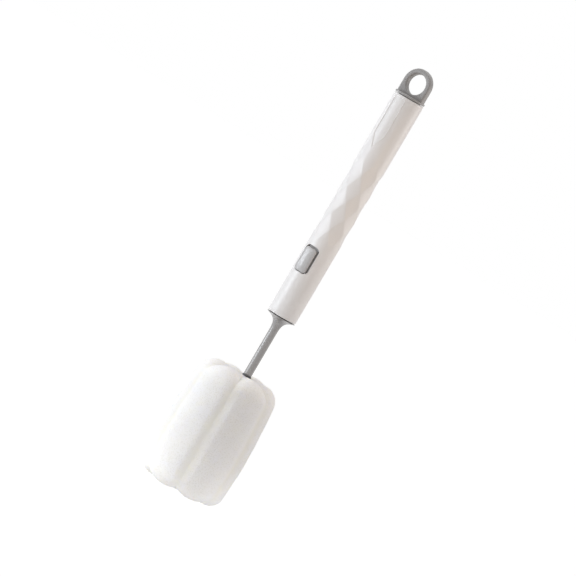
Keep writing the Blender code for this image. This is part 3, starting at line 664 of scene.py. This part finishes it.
def coil_tree():
    """A wound spring along Z, from a spiral and a round wire."""
    floats = ("Radius", "Height", "Wire", "Turns")
    inputs = [(label, "NodeSocketFloat", 0.001) for label in floats]
    inputs += [(label, "NodeSocketInt", 24) for label in ("Points Per Turn", "Sides")]
    tree, graph, given = new_geometry_tree("Wound Spring", inputs)
    spiral = {
        "Resolution": given["Points Per Turn"],
        "Rotations": given["Turns"],
        "Start Radius": given["Radius"],
        "End Radius": given["Radius"],
        "Height": given["Height"],
    }
    path = graph.add("GeometryNodeCurveSpiral", spiral).outputs[0]
    end_tree(graph, graph.swept(path, given["Sides"], given["Wire"]), given["Material"])
    return tree


def new_group(name, inputs, outputs):
    """A shader node group whose sockets are numbers, its graph and its inputs."""
    tree = bpy.data.node_groups.new(name, "ShaderNodeTree")
    for labels, way in ((inputs, "INPUT"), (outputs, "OUTPUT")):
        for label in labels:
            socket = tree.interface.new_socket(label, in_out=way, socket_type="NodeSocketFloat")
            socket.default_value = 1.0
    graph = Graph(tree)
    return tree, graph, graph.add("NodeGroupInput").outputs


def moulded_grain_group():
    """The fine spark-eroded grain and the faint flow marks of moulded plastic."""
    tree, graph, given = new_group("Moulded Grain", ("Grain", "Mottle"), ("Height", "Tone"))
    place = graph.object_place()
    fine = graph.noise(place, scale=2600.0, detail=2.0)[0]
    broad = graph.noise(place, scale=55.0, detail=3.0)[0]
    height = graph.times(fine, given["Grain"])
    tone = graph.times(graph.minus(broad, 0.5), given["Mottle"])
    graph.add("NodeGroupOutput", {"Height": height, "Tone": tone})
    return tree


def handling_group():
    """Where hands and sinks wear a surface: light scuffs and rubbed edges."""
    tree, graph, given = new_group("Handling Wear", ("Scuffs", "Edges"), ("Scuff", "Edge"))
    place = graph.object_place()
    stretch = {"Vector": place, "Scale": (900.0, 900.0, 70.0)}
    streaks = graph.add("ShaderNodeMapping", stretch).outputs[0]
    thin = graph.ramp(graph.noise(streaks, scale=1.0, detail=2.0)[0], 0.62, 0.74)
    where = graph.ramp(graph.noise(place, scale=90.0, detail=2.0)[0], 0.48, 0.62)
    scuff = graph.times(graph.times(thin, where), given["Scuffs"])
    sharp = graph.add("ShaderNodeNewGeometry").outputs["Pointiness"]
    edge = graph.times(graph.ramp(sharp, 0.505, 0.56), given["Edges"])
    graph.add("NodeGroupOutput", {"Scuff": scuff, "Edge": edge})
    return tree


def new_material(name, base, roughness, **sockets):
    """A material with a Principled BSDF whose plain numbers are set on its own sockets."""
    material = bpy.data.materials.new(name)
    material.use_nodes = True
    graph = Graph(material.node_tree)
    shader = material.node_tree.nodes["Principled BSDF"]
    shader.inputs["Base Color"].default_value = (*base, 1.0)
    shader.inputs["Roughness"].default_value = roughness
    for label, value in sockets.items():
        shader.inputs[label.replace("_", " ")].default_value = value
    return material, graph, shader


def scaled(base, factor):
    return tuple(min(1.0, channel * factor) for channel in base)


def moulded_plastic(name, base, roughness, grain, scuffs, edges, ior):
    """Moulded plastic: mottled tone, fine grain, scuffs that dull it and edges that shine."""
    material, graph, shader = new_material(name, base, roughness, IOR=ior)
    surface = graph.shared("Moulded Grain", moulded_grain_group, Grain=grain)
    wear = graph.shared("Handling Wear", handling_group, Scuffs=scuffs, Edges=edges)
    dark, light, rubbed = 0.965, 1.035, 1.12
    scuff_dulls, mottle_dulls, edge_shines, scuff_depth = 0.16, 0.12, -0.08, -0.4
    tone = graph.times_plus(surface["Tone"], 0.5, 0.5)
    body = graph.blend(tone, scaled(base, dark), scaled(base, light))
    body = graph.blend(wear["Edge"], body, scaled(base, rubbed))
    graph.feed(shader.inputs["Base Color"], body)
    rough = graph.times_plus(wear["Scuff"], scuff_dulls, roughness)
    rough = graph.times_plus(surface["Tone"], mottle_dulls, rough)
    rough = graph.times_plus(wear["Edge"], edge_shines, rough)
    graph.feed(shader.inputs["Roughness"], rough)
    dents = graph.times_plus(wear["Scuff"], scuff_depth, surface["Height"])
    relief = {"Height": dents, "Strength": 0.35, "Distance": 0.00004}
    graph.feed(shader.inputs["Normal"], graph.add("ShaderNodeBump", relief).outputs[0])
    return material


def drawn_steel(name, base):
    """Bright spring wire, a little duller and darker where it is scuffed."""
    material, graph, shader = new_material(name, base, roughness=0.28, Metallic=1.0)
    scuff = graph.shared("Handling Wear", handling_group)["Scuff"]
    graph.feed(shader.inputs["Roughness"], graph.times_plus(scuff, 0.25, 0.24))
    graph.feed(shader.inputs["Base Color"], graph.blend(scuff, base, scaled(base, 0.8)))
    return material


def foam_material(name, base, pore, groove):
    """Soft open-celled foam: small pits of two sizes, shaded in their depths, with painted shade deep
    in its grooves.
    """
    soft = {"IOR": 1.3, "Subsurface_Weight": 0.85, "Subsurface_Scale": 0.009}
    soft["Subsurface_Radius"] = (1.0, 0.95, 0.8)
    material, graph, shader = new_material(name, base, roughness=0.92, **soft)
    place = graph.object_place()
    warp = {"Factor": 0.0012, 4: place, 5: graph.noise(place, scale=420.0, detail=2.0)[1]}
    bent = graph.add("ShaderNodeMix", warp, data_type="VECTOR").outputs[1]
    large = graph.ramp(graph.cells(bent, scale=900.0), 0.42, 0.12)
    small = graph.ramp(graph.cells(bent, scale=1900.0), 0.40, 0.15)
    small_share = 0.6
    pits = graph.maths("MAXIMUM", large, graph.times(small, small_share))
    # The pits' shade varies in broad blotches
    blotch = graph.noise(place, scale=60.0, detail=3.0)[0]
    shade = graph.times(pits, graph.times_plus(blotch, 0.3, 0.25))
    skin = graph.blend(shade, base, pore)
    # Painted shade: deep in the grooves the foam turns to the groove colour, for the light that
    # scatters and bounces there
    depth = graph.add("ShaderNodeAttribute", attribute_name="groove").outputs["Fac"]
    graph.feed(shader.inputs["Base Color"], graph.blend(depth, skin, groove))
    relief = {"Height": pits, "Strength": 0.5, "Distance": 0.00025}
    bump = graph.add("ShaderNodeBump", relief, invert=True)
    graph.feed(shader.inputs["Normal"], bump.outputs[0])
    return material


def finish_of(slot):
    """The finish that goes with a record slot, made once."""
    label = "worn_" + slot
    made = bpy.data.materials.get(label)
    if made:
        return made
    finishes = bpy.context.scene.brush_finishes
    if slot in PLASTICS:
        base, *surface = PLASTICS[slot]
        return moulded_plastic(label, getattr(finishes, base), *surface)
    if slot == "spring_steel":
        return drawn_steel(label, finishes.steel)
    return foam_material(label, finishes.foam, finishes.foam_pore, finishes.foam_groove_shade)


def wire_piece(name, path, radius, sides, slot, closed=False):
    values = {"Radius": radius, "Sides": sides, "Material": finish_of(slot)}
    tree = bpy.data.node_groups.get("Wire On Path") or wire_tree()
    return grown_mesh(name, line_mesh(name, path, closed), tree, values)


def handle_rail(sizes):
    """Heights of the tube's rings: close at the ends and over the diamonds, else wide apart."""
    spacing = sizes.facet_pitch / 2 / sizes.divisions
    zone_rows = 2 * sizes.rows * sizes.divisions
    margin = 3
    plain_rows = 12
    heights = [sizes.facet_start + spacing * i for i in range(-margin, zone_rows + margin + 1)]
    above = HANDLE_TALL - sizes.facet_start - spacing * (zone_rows + margin)
    for i in range(1, plain_rows):
        heights += [heights[0] * i / plain_rows, HANDLE_TALL - above * i / plain_rows]
    for part in (0.0, 0.06, 0.2, 0.45, 0.7, 1.0):
        heights += [sizes.edge * part, HANDLE_TALL - sizes.edge * part]
    heights = sorted(set(round(height, 7) for height in heights))
    return [(0, 0, HANDLE_LOW[2] + height) for height in heights]


def tube_radius(sizes, height):
    return sizes.foot_radius + (sizes.top_radius - sizes.foot_radius) * height / HANDLE_TALL


def on_tube(sizes, x, height, depth=0.0):
    """A point on the front of the tube, or below its surface, at a height above its foot."""
    radius = tube_radius(sizes, height) - depth
    return (x, -math.sqrt(radius**2 - x**2), HANDLE_LOW[2] + height)


def window_cutter(sizes, button):
    """Cuts the window through the wall and rounds its outer edge."""
    middle = button.height + button.window_lift

    def outline(offset):
        half_width = button.window_width / 2 + offset
        half_length = button.window_length / 2 + offset
        points = rounded_outline(half_width, half_length, button.window_corner + offset)
        return [(x, middle + z) for x, z in points]

    rim = quarter_round(button.rim, (20, 35, 50, 65, 80, 90))
    widest = rim[0][1]
    # The first ring is plane and clear of the tube, so that the cutter's end is plane too
    front = -sizes.top_radius - OVERCUT
    rings = [[(x, front, HANDLE_LOW[2] + z) for x, z in outline(widest)]]
    for depth, offset in [(-OVERCUT, widest)] + rim:
        rings.append([on_tube(sizes, x, z, depth) for x, z in outline(offset)])
    back = -button.window_width / 4
    rings.append([(x, back, HANDLE_LOW[2] + z) for x, z in outline(0.0)])
    return ring_mesh("window_cutter", rings)


def panel_outline(sizes):
    """The panel's outline: square-shouldered above, pointed below, its corners rounded."""
    half = sizes.panel_half
    corner = sizes.panel_corner
    top = HANDLE_TALL - sizes.panel_top
    side_foot = top - sizes.panel_side
    side_steps = 14
    slant_steps = 10
    left = []
    for i in range(1, side_steps):
        left.append((-half, top - corner - (sizes.panel_side - corner) * i / side_steps))
    for i in range(slant_steps):
        part = i / slant_steps
        left.append((-half * (1 - part), side_foot - sizes.panel_point * part))
    points = arc((half - corner, top - corner), corner, 0, 90, steps=8)
    points += arc((corner - half, top - corner), corner, 90, 180, steps=8)
    points += left + [(0, side_foot - sizes.panel_point)]
    return points + [(-x, z) for x, z in reversed(left)]


def panel_cutter(sizes):
    """The panel's recess, whose floor runs parallel to the tube's surface."""
    base = HANDLE_LOW[2]
    # The block reaches from outside the tube to well below the recess
    ends = (-sizes.top_radius * 1.3, -sizes.top_radius * 0.6)
    rings = [[(x, y, base + z) for x, z in panel_outline(sizes)] for y in ends]
    block = ring_mesh("panel_block", rings)
    low = sizes.foot_radius - sizes.panel_depth
    high = sizes.top_radius - sizes.panel_depth
    top = base + HANDLE_TALL
    profile = [(0, top), (high, top), (low, base), (0, base)]
    core = turned("panel_core", profile, sizes.columns * sizes.divisions)
    return combined("panel_cutter", block, [("DIFFERENCE", core)])


def panel_bead(sizes):
    """A half-round bead along the panel's outline, sunk to its middle in the tube."""
    path = [on_tube(sizes, x, z, sizes.bead / 2) for x, z in panel_outline(sizes)]
    return wire_piece("panel_bead", path, sizes.bead, sides=10, slot="white_plastic", closed=True)


def bore_cutter(sizes):
    insert_top = INSERT_HIGH[2] + FIT_GAP
    cap_foot = CAP_LOW[2] - FIT_GAP
    over = HANDLE_LOW[2] + HANDLE_TALL + OVERCUT
    under = HANDLE_LOW[2] - OVERCUT
    seat = sizes.seat_bore
    land = sizes.land_bore
    profile = [(0, over), (seat, over), (seat, cap_foot), (land, cap_foot)]
    profile += [(land, insert_top), (seat, insert_top), (seat, under), (0, under)]
    return turned("bore_cutter", profile, TURNED_STEPS)


class BRUSH_OT_handle(bpy.types.Operator):
    """Build the faceted handle tube with its window and its panel."""

    bl_idname = "brush.handle"
    bl_label = "Handle"

    def execute(self, context):
        sizes = context.scene.brush_handle
        values = {"Base": HANDLE_LOW[2], "Length": HANDLE_TALL}
        values["Material"] = finish_of("white_plastic")
        for label in TUBE_LENGTHS + TUBE_COUNTS:
            values[label] = getattr(sizes, label.lower().replace(" ", "_"))
        rail = line_mesh("handle_rail", handle_rail(sizes))
        tube = grown_mesh("tube", rail, diamond_tube_tree(), values)
        edit_mesh(tube, lambda shape: ridge_split(shape, sizes))
        operations = [
            ("DIFFERENCE", bore_cutter(sizes)),
            ("DIFFERENCE", window_cutter(sizes, context.scene.brush_button)),
            ("DIFFERENCE", panel_cutter(sizes)),
            ("UNION", panel_bead(sizes)),
        ]
        mesh = combined("handle_tube", tube, operations)
        finish_piece("handle_tube", mesh, "white_plastic", "handle", "handle_shell")
        return {"FINISHED"}


def loop_plate(sizes, centre, foot):
    """The D-shaped loop, standing in the XZ plane."""
    curve = bpy.data.curves.new("loop_plate", "CURVE")
    curve.dimensions = "2D"
    curve.fill_mode = "BOTH"
    curve.extrude = sizes.thickness / 2 - sizes.edge
    curve.bevel_depth = sizes.edge
    curve.bevel_resolution = 4
    curve.offset = -sizes.edge
    radius = sizes.hole_radius + sizes.band
    outline = arc((0, centre), radius, 0, 180, steps=64) + [(-radius, foot), (radius, foot)]
    hole = arc((0, centre), sizes.hole_radius, 360, 0, steps=72)[:-1]
    for points in (outline, hole):
        spline = curve.splines.new("POLY")
        spline.points.add(len(points) - 1)
        for point, (x, z) in zip(spline.points, points):
            point.co = (x, z, 0, 1)
        spline.use_cyclic_u = True
    mesh = plain_mesh("loop_plate", linked("loop_plate_maker", curve))
    mesh.transform(Matrix.Rotation(math.pi / 2, 4, "X"))
    edit_mesh(mesh, merged)
    return mesh


class BRUSH_OT_end_cap(bpy.types.Operator):
    """Build the grey end cap with its hanging loop."""

    bl_idname = "brush.end_cap"
    bl_label = "End cap"

    def execute(self, context):
        sizes = context.scene.brush_cap
        handle = context.scene.brush_handle
        radius = handle.top_radius
        edge = handle.edge
        foot = CAP_LOW[2]
        seat = HANDLE_HIGH[2] + sizes.parting
        top = seat + sizes.collar_height
        plug = handle.seat_bore - FIT_GAP
        bore = plug - sizes.plug_wall
        profile = [(0, top)] + arc((radius - edge, top - edge), edge, 90, 0, steps=5)
        profile += [(radius, seat + FIT_GAP / 2), (radius - FIT_GAP / 2, seat), (plug, seat)]
        profile += [(plug, foot + FIT_GAP), (plug - FIT_GAP, foot)]
        profile += [(bore, foot), (bore, HANDLE_HIGH[2]), (0, HANDLE_HIGH[2])]
        collar = turned("collar", profile, COLLAR_STEPS)
        # The loop's rounded foot is sunk in the collar
        centre = top + sizes.loop_foot + sizes.hole_radius
        plate = loop_plate(sizes, centre, top - sizes.edge * 1.2)
        mesh = combined("hanging_cap", collar, [("UNION", plate)])
        finish_piece("hanging_cap", mesh, "dark_grey_plastic", "handle", "end_cap")
        return {"FINISHED"}


def button_rings(button, crown, back):
    """Rings of the button's skin from its back, over the rounded edge, to the crown's middle."""
    half_width = button.window_width / 2 - button.gap
    half_length = button.window_length / 2 - button.gap
    corner = button.window_corner - button.gap
    # The innermost ring leaves a narrow strip that the mesh's end face closes
    crown_steps = 8
    reach = (half_width - button.rounding) * 0.98
    steps = [(button.taper, None)]
    steps += quarter_round(button.rounding, (0, 12, 25, 38, 50, 62, 75, 90))
    for i in range(1, crown_steps + 1):
        steps.append((button.rounding + reach * i / crown_steps, 0.0))
    rings = []
    for inset, drop in steps:
        ring = []
        for x, z in rounded_outline(half_width - inset, half_length - inset, corner - inset):
            radius = crown - button.arch + math.sqrt(button.arch**2 - z**2)
            y = -back if drop is None else -math.sqrt(radius**2 - x**2) + drop
            ring.append((x, y, z))
        rings.append(ring)
    return rings


class BRUSH_OT_button(bpy.types.Operator):
    """Build the domed release button with its lips and wedge."""

    bl_idname = "brush.button"
    bl_label = "Release button"

    def execute(self, context):
        button = context.scene.brush_button
        handle = context.scene.brush_handle
        seat = handle.seat_bore - FIT_GAP
        back = seat - button.lip
        crown = tube_radius(handle, button.height) + button.rise
        cap = ring_mesh("button_cap", button_rings(button, crown, back))
        # The lips reach almost to the wall's inner face
        reach = (BUTTON_HIGH[2] - BUTTON_LOW[2]) / 2
        low = (-button.lip_half, -seat * 0.985, -reach)
        lips = box_mesh("lips", low, (button.lip_half, -back, reach))
        lift = Matrix.Translation((0, 0, HANDLE_LOW[2] + button.height))
        cap.transform(lift)
        lips.transform(lift)
        # The boss and the wedge behind the lips are the solid's own
        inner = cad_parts["release_button"].data.copy()
        edit_mesh(inner, merged)
        low = (-seat, -back - FIT_GAP, HANDLE_LOW[2])
        behind = box_mesh("works_box", low, (seat, 0, HANDLE_HIGH[2]))
        works = combined("button_works", inner, [("INTERSECT", behind)])
        mesh = combined("button_dome", cap, [("UNION", lips), ("UNION", works)])
        finish_piece("button_dome", mesh, "button_plastic", "button", "release_button")
        return {"FINISHED"}


def stem_profile(head):
    """(radius, height) points from the tang's tip, over the flare, to the spigot's end."""
    tang = head.tang_radius
    rod = head.rod_radius
    flange = STEM_HIGH[0]
    flange_top = HANDLE_LOW[2] - head.flange_gap
    flange_edge = 0.00015
    groove = tang - head.tang_groove
    groove_top = LATCH_LEVEL + (LATCH_WIRE + FIT_GAP)
    groove_foot = LATCH_LEVEL - (LATCH_WIRE + FIT_GAP)
    top = STEM_HIGH[2]
    lead = tang / 2
    shoulder = CORE_HIGH[2] + FIT_GAP
    profile = [(0, top), (lead * 0.9, top), (lead, top - lead * 0.05)]
    profile += [(tang, top - lead), (tang, groove_top)]
    profile += [(groove, groove_top), (groove, groove_foot)]
    profile += [(tang, groove_foot), (tang, flange_top)]
    profile += [(flange - flange_edge, flange_top), (flange, flange_top - flange_edge)]
    # The flare thins out from the flange's rim, with its points closer together there
    rim = flange_top - head.flange_rim
    flare_steps = 40
    for i in range(flare_steps + 1):
        drop = head.flare_length * (i / flare_steps) ** 1.8
        profile.append((rod + (flange - rod) * math.exp(-drop / head.flare_decay), rim - drop))
    profile += [(rod, shoulder + FIT_GAP), (rod - FIT_GAP, shoulder)]
    spigot = head.spigot_radius
    return profile + [(spigot, shoulder), (spigot, STEM_LOW[2]), (0, STEM_LOW[2])]


class BRUSH_OT_stem(bpy.types.Operator):
    """Build the stem with its flare, rod, tang and key."""

    bl_idname = "brush.stem"
    bl_label = "Stem"

    def execute(self, context):
        head = context.scene.brush_head
        rod = turned("stem_rod", stem_profile(head), TURNED_STEPS)
        foot = HANDLE_LOW[2]
        low = (-head.key_half, 0, foot - head.flange_gap - head.flange_rim / 2)
        high = (head.key_half, head.key_reach, foot + head.key_length)
        mesh = combined("stem_rod", rod, [("UNION", box_mesh("stem_key", low, high))])
        finish_piece("stem_rod", mesh, "grey_plastic", "head", "stem")
        return {"FINISHED"}


def foam_envelope(head, height):
    """The foam's radius over its lobes at a height."""
    if height > head.widest:
        part = (height - head.widest) / (FOAM_TALL - head.widest)
        return head.waist_radius + (head.top_radius - head.waist_radius) * part**2
    part = (head.widest - height) / head.widest
    return head.waist_radius + (head.foot_radius - head.waist_radius) * part**2


def foam_rows(head):
    """(height, inset, share of the end face's reach) for each ring, from foot to top."""
    face_steps = 24
    round_steps = 20
    turns = [90 * i / round_steps for i in range(round_steps + 1)]
    side = FOAM_TALL - head.foot_shoulder - head.top_shoulder
    side_steps = round(side / head.foam_spacing)
    rows = [(0.0, head.foot_shoulder, i / face_steps) for i in range(1, face_steps)]
    rows += [(height, inset, 1.0) for height, inset in quarter_round(head.foot_shoulder, turns)]
    for i in range(1, side_steps):
        rows.append((head.foot_shoulder + side * i / side_steps, 0.0, 1.0))
    for drop, inset in reversed(quarter_round(head.top_shoulder, turns)):
        rows.append((FOAM_TALL - drop, inset, 1.0))
    for i in range(face_steps - 1, 0, -1):
        rows.append((FOAM_TALL, head.top_shoulder, i / face_steps))
    return rows


def groove_closeness(head, angle):
    """1 in a groove's middle and 0 on the lobes: a V with a rounded rim and a rounded bed."""
    lobe = math.tau / head.lobes
    distance = abs((angle - FRONT) % lobe - lobe / 2) * head.waist_radius
    part = max(0.0, 1 - distance / head.groove_half)
    whole = 1 - head.groove_rim / 2 - head.groove_bed / 2
    if part < head.groove_rim:
        return part**2 / (2 * head.groove_rim) / whole
    if part < 1 - head.groove_bed:
        return (part - head.groove_rim / 2) / whole
    return 1 - (1 - part) ** 2 / (2 * head.groove_bed) / whole


def groove_share(head, height):
    """How much of a groove's depth is there at a height: it fades out at both ends."""
    part = min(1.0, min(height, FOAM_TALL - height) / head.groove_fade)
    return part * (2 - part)


def foam_mesh(head, sideways):
    """The lobed foam: one skin of rings and columns, uneven as cut foam is."""
    tall = FOAM_TALL
    columns = head.foam_columns
    hole = head.core_radius + FIT_GAP
    hole_depth = 0.006
    held_reach = 0.010
    angles = [FRONT + math.tau * k / columns for k in range(columns)]
    lobe = math.tau / head.lobes
    closeness = [groove_closeness(head, angle) for angle in angles]
    domes = []
    for angle in angles:
        from_middle = abs((angle - FRONT + lobe / 2) % lobe / lobe * 2 - 1)
        domes.append(from_middle**head.dome_power)
    rings = []
    for height, inset, part in foam_rows(head):
        ring = []
        reach = head.groove_reach * groove_share(head, height)
        for angle, close, dome in zip(angles, closeness, domes):
            outline = foam_envelope(head, height) - inset - reach * close
            radius = outline * part
            clear = max(0.0, radius - head.foot_flat) / (outline - head.foot_flat)
            low = head.foot_dome * dome * clear
            high = tall - head.top_dome * dome * part
            z = low + height * (high - low) / tall
            if height == tall and part < 1.0:
                radius = hole + (outline - hole) * part
                z -= head.dip * (1 - part) ** 1.5
            outward = Vector((math.cos(angle), math.sin(angle), 0))
            spot = Vector((radius * math.cos(angle), radius * math.sin(angle), z))
            if 0.0 < height < tall:
                spot += outward * sum(noise.noise(spot * scale) * swell for scale, swell in FOAM_SWELLS)
            # The core holds the foam, which is free to sit aside further out
            free = min(1.0, max(0.0, (radius - hole) / held_reach))
            ring.append(tuple(spot - sideways * head.set_back * free))
        rings.append(ring)
    bed = tall - hole_depth
    rings.append([(hole * math.cos(angle), hole * math.sin(angle), bed) for angle in angles])
    mesh = ring_mesh("foam_head", rings)
    # The groove attribute marks where the foam's material paints shade, deep in the grooves
    depth = mesh.attributes.new("groove", "FLOAT", "POINT")
    for vertex in mesh.vertices:
        place = vertex.co + sideways * head.set_back
        close = groove_closeness(head, math.atan2(place.y, place.x))
        depth.data[vertex.index].value = close * groove_share(head, place.z)
    return mesh


class BRUSH_OT_foam(bpy.types.Operator):
    """Build the lobed foam head."""

    bl_idname = "brush.foam"
    bl_label = "Foam head"

    def execute(self, context):
        right = camera_axes(context.scene.brush_stage)[0]
        mesh = foam_mesh(context.scene.brush_head, right)
        piece = finish_piece("foam_head", mesh, "white_foam", "head", "sponge", FOAM_SHARP_ANGLE)
        return {"FINISHED"}


def latch_mesh():
    """The hairpin: down one leg, round the bend and back along the other."""
    leg = LATCH_HIGH[0] - LATCH_WIRE
    bend = LATCH_HIGH[1] - LATCH_WIRE - leg
    line = [(leg, LATCH_LOW[1]), (leg, 0)] + arc((0, bend), leg, 0, 180, steps=36)
    line += [(-leg, 0), (-leg, LATCH_LOW[1])]
    path = [(x, y, LATCH_LEVEL) for x, y in line]
    return wire_piece("latch_hairpin", path, LATCH_WIRE, sides=16, slot="spring_steel")


def coil_mesh(wire, turns):
    """The button's coil, wound along Z and laid along Y."""
    values = {
        "Radius": (COIL_HIGH[0] - COIL_LOW[0]) / 2 - wire,
        "Height": COIL_HIGH[1] - COIL_LOW[1] - 2 * wire,
        "Wire": wire,
        "Turns": turns,
        "Points Per Turn": 28,
        "Sides": 12,
        "Material": finish_of("spring_steel"),
    }
    coil = grown_mesh("button_coil", line_mesh("coil", [(0, 0, 0)]), coil_tree(), values)
    coil.transform(Matrix.Rotation(math.radians(-90), 4, "X"))
    coil.transform(Matrix.Translation((0, COIL_LOW[1] + wire, (COIL_LOW[2] + COIL_HIGH[2]) / 2)))
    return coil


class BRUSH_OT_inner_parts(bpy.types.Operator):
    """Build the two springs and dress the socket and the core."""

    bl_idname = "brush.inner_parts"
    bl_label = "Inner parts"

    def execute(self, context):
        button = context.scene.brush_button
        finish_piece("latch_hairpin", latch_mesh(), "spring_steel", "handle", "latch_spring")
        coil = coil_mesh(button.coil_wire, button.coil_turns)
        spring = finish_piece("button_coil", coil, "spring_steel", "handle", "button_spring")
        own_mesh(spring)
        for node in ("socket_insert", "foam_core"):
            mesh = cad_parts[node].data
            mesh.materials.clear()
            mesh.materials.append(finish_of("inner_plastic"))
        return {"FINISHED"}


def camera_axes(stage):
    """The directions right, up and towards the camera, before the picture is leaned."""
    right = Vector((math.cos(stage.azimuth), math.sin(stage.azimuth), 0))
    away = Vector((math.sin(stage.azimuth), -math.cos(stage.azimuth), 0))
    away *= math.cos(stage.elevation)
    away.z = math.sin(stage.elevation)
    return right, away.cross(right), away


def add_camera(stage):
    right, up, away = camera_axes(stage)
    camera = bpy.data.cameras.new("camera")
    camera.sensor_width = 36.0
    camera.lens = camera.sensor_width * stage.distance / stage.picture_width
    camera.clip_end = 50.0
    picture_right = right * math.cos(stage.lean) + up * math.sin(stage.lean)
    picture_up = up * math.cos(stage.lean) - right * math.sin(stage.lean)
    heading = Matrix((picture_right, picture_up, away)).transposed().to_4x4()
    target = Vector((0, 0, HANDLE_LOW[2])) + up * stage.aim_along + right * stage.aim_across
    holder = linked("camera", camera)
    holder.matrix_world = Matrix.Translation(target + away * stage.distance) @ heading
    bpy.context.scene.camera = holder


def area_lamp(name, place, target, size, energy, tint):
    lamp = bpy.data.lights.new(name, "AREA")
    lamp.shape = "RECTANGLE"
    lamp.size, lamp.size_y = size
    lamp.energy = energy
    lamp.color = tint
    holder = linked(name, lamp)
    holder.location = place
    holder.rotation_euler = (target - place).to_track_quat("-Z", "Y").to_euler()
    holder.visible_camera = False


def add_lamps(stage):
    """Large lamps face the brush's middle, and the small ones face it level."""
    right, _, away = camera_axes(stage)
    level = Vector((away.x, away.y, 0)).normalized()
    middle = Vector((0, 0, (FOAM_LOW[2] + CAP_HIGH[2]) / 2))
    for name in LAMPS:
        parts = [getattr(stage, f"{name}_{part}") for part in LAMP_PARTS]
        angle, reach, height, size, energy, tint = parts
        place = (level * math.cos(angle) + right * math.sin(angle)) * reach
        place.z = height
        target = Vector((0, 0, height)) if name in LEVEL_LAMPS else middle
        area_lamp(name, place, target, size, energy, tint)


def seen_ray(graph):
    """One for camera, glossy and transmission rays, which see the white background."""
    path = graph.add("ShaderNodeLightPath").outputs
    seen = graph.maths("MAXIMUM", path["Is Camera Ray"], path["Is Glossy Ray"])
    return graph.maths("MAXIMUM", seen, path["Is Transmission Ray"])


def white_room(level):
    """A room that is full white where it is seen, and lower and warmer where it lights the brush."""
    world = bpy.data.worlds.new("white_room")
    bpy.context.scene.world = world
    world.use_nodes = True
    graph = Graph(world.node_tree)
    background = world.node_tree.nodes["Background"]
    seen = seen_ray(graph)
    tint = graph.blend(seen, (1.0, 0.958, 0.95), (1.0, 1.0, 1.0))
    graph.feed(background.inputs["Color"], tint)
    graph.feed(background.inputs["Strength"], graph.maths("MAXIMUM", seen, level))


def floor_material():
    """A pale floor that looks white and keeps the brush's shadow."""
    material, graph, shader = new_material("pale_floor", (0.90, 0.90, 0.90), roughness=0.8)
    glow = graph.add("ShaderNodeEmission", {"Color": (1.0, 1.0, 1.0, 1.0), "Strength": 1.2})
    seen_share = 0.75
    white = graph.times(seen_ray(graph), seen_share)
    ends = {0: white, 1: shader.outputs[0], 2: glow.outputs[0]}
    both = graph.add("ShaderNodeMixShader", ends)
    output = material.node_tree.nodes["Material Output"]
    graph.feed(output.inputs["Surface"], both.outputs[0])
    return material


def add_floor(half, drop):
    floor = bpy.data.meshes.new("floor")
    corners = ((-half, -half), (half, -half), (half, half), (-half, half))
    floor.from_pydata([(x, y, -drop) for x, y in corners], [], [(0, 1, 2, 3)])
    floor.materials.append(floor_material())
    ground = linked("floor", floor)


class BRUSH_OT_stage(bpy.types.Operator):
    """Set up the camera, the lamps and the floor."""

    bl_idname = "brush.stage"
    bl_label = "Stage"

    def execute(self, context):
        stage = context.scene.brush_stage
        context.scene.view_settings.view_transform = "Standard"
        add_camera(stage)
        add_lamps(stage)
        white_room(stage.sky_level)
        add_floor(stage.floor_half, stage.floor_drop)
        return {"FINISHED"}


class BRUSH_PT_panel(bpy.types.Panel):
    """Lists the brush's pieces."""

    bl_label = "Bottle Brush"
    bl_space_type = "VIEW_3D"
    bl_region_type = "UI"
    bl_category = "Brush"

    def draw(self, context):
        for operator in OPERATORS:
            self.layout.operator(operator.bl_idname)


GROUPS = {
    "brush_handle": HandleSizes,
    "brush_button": ButtonSizes,
    "brush_cap": CapSizes,
    "brush_head": HeadSizes,
    "brush_finishes": Finishes,
    "brush_stage": StageSettings,
}
OPERATORS = (
    BRUSH_OT_stage,
    BRUSH_OT_handle,
    BRUSH_OT_end_cap,
    BRUSH_OT_button,
    BRUSH_OT_stem,
    BRUSH_OT_foam,
    BRUSH_OT_inner_parts,
)


def register():
    for name, group in GROUPS.items():
        bpy.utils.register_class(group)
        setattr(bpy.types.Scene, name, bpy.props.PointerProperty(type=group))
    for operator in OPERATORS:
        bpy.utils.register_class(operator)
    bpy.utils.register_class(BRUSH_PT_panel)


def unregister():
    bpy.utils.unregister_class(BRUSH_PT_panel)
    for operator in reversed(OPERATORS):
        bpy.utils.unregister_class(operator)
    for name, group in GROUPS.items():
        delattr(bpy.types.Scene, name)
        bpy.utils.unregister_class(group)


def main():
    register()
    bpy.ops.brush.stage()
    bpy.ops.brush.handle()
    bpy.ops.brush.end_cap()
    bpy.ops.brush.button()
    bpy.ops.brush.stem()
    bpy.ops.brush.foam()
    bpy.ops.brush.inner_parts()


if __name__ == "__main__":
    main()
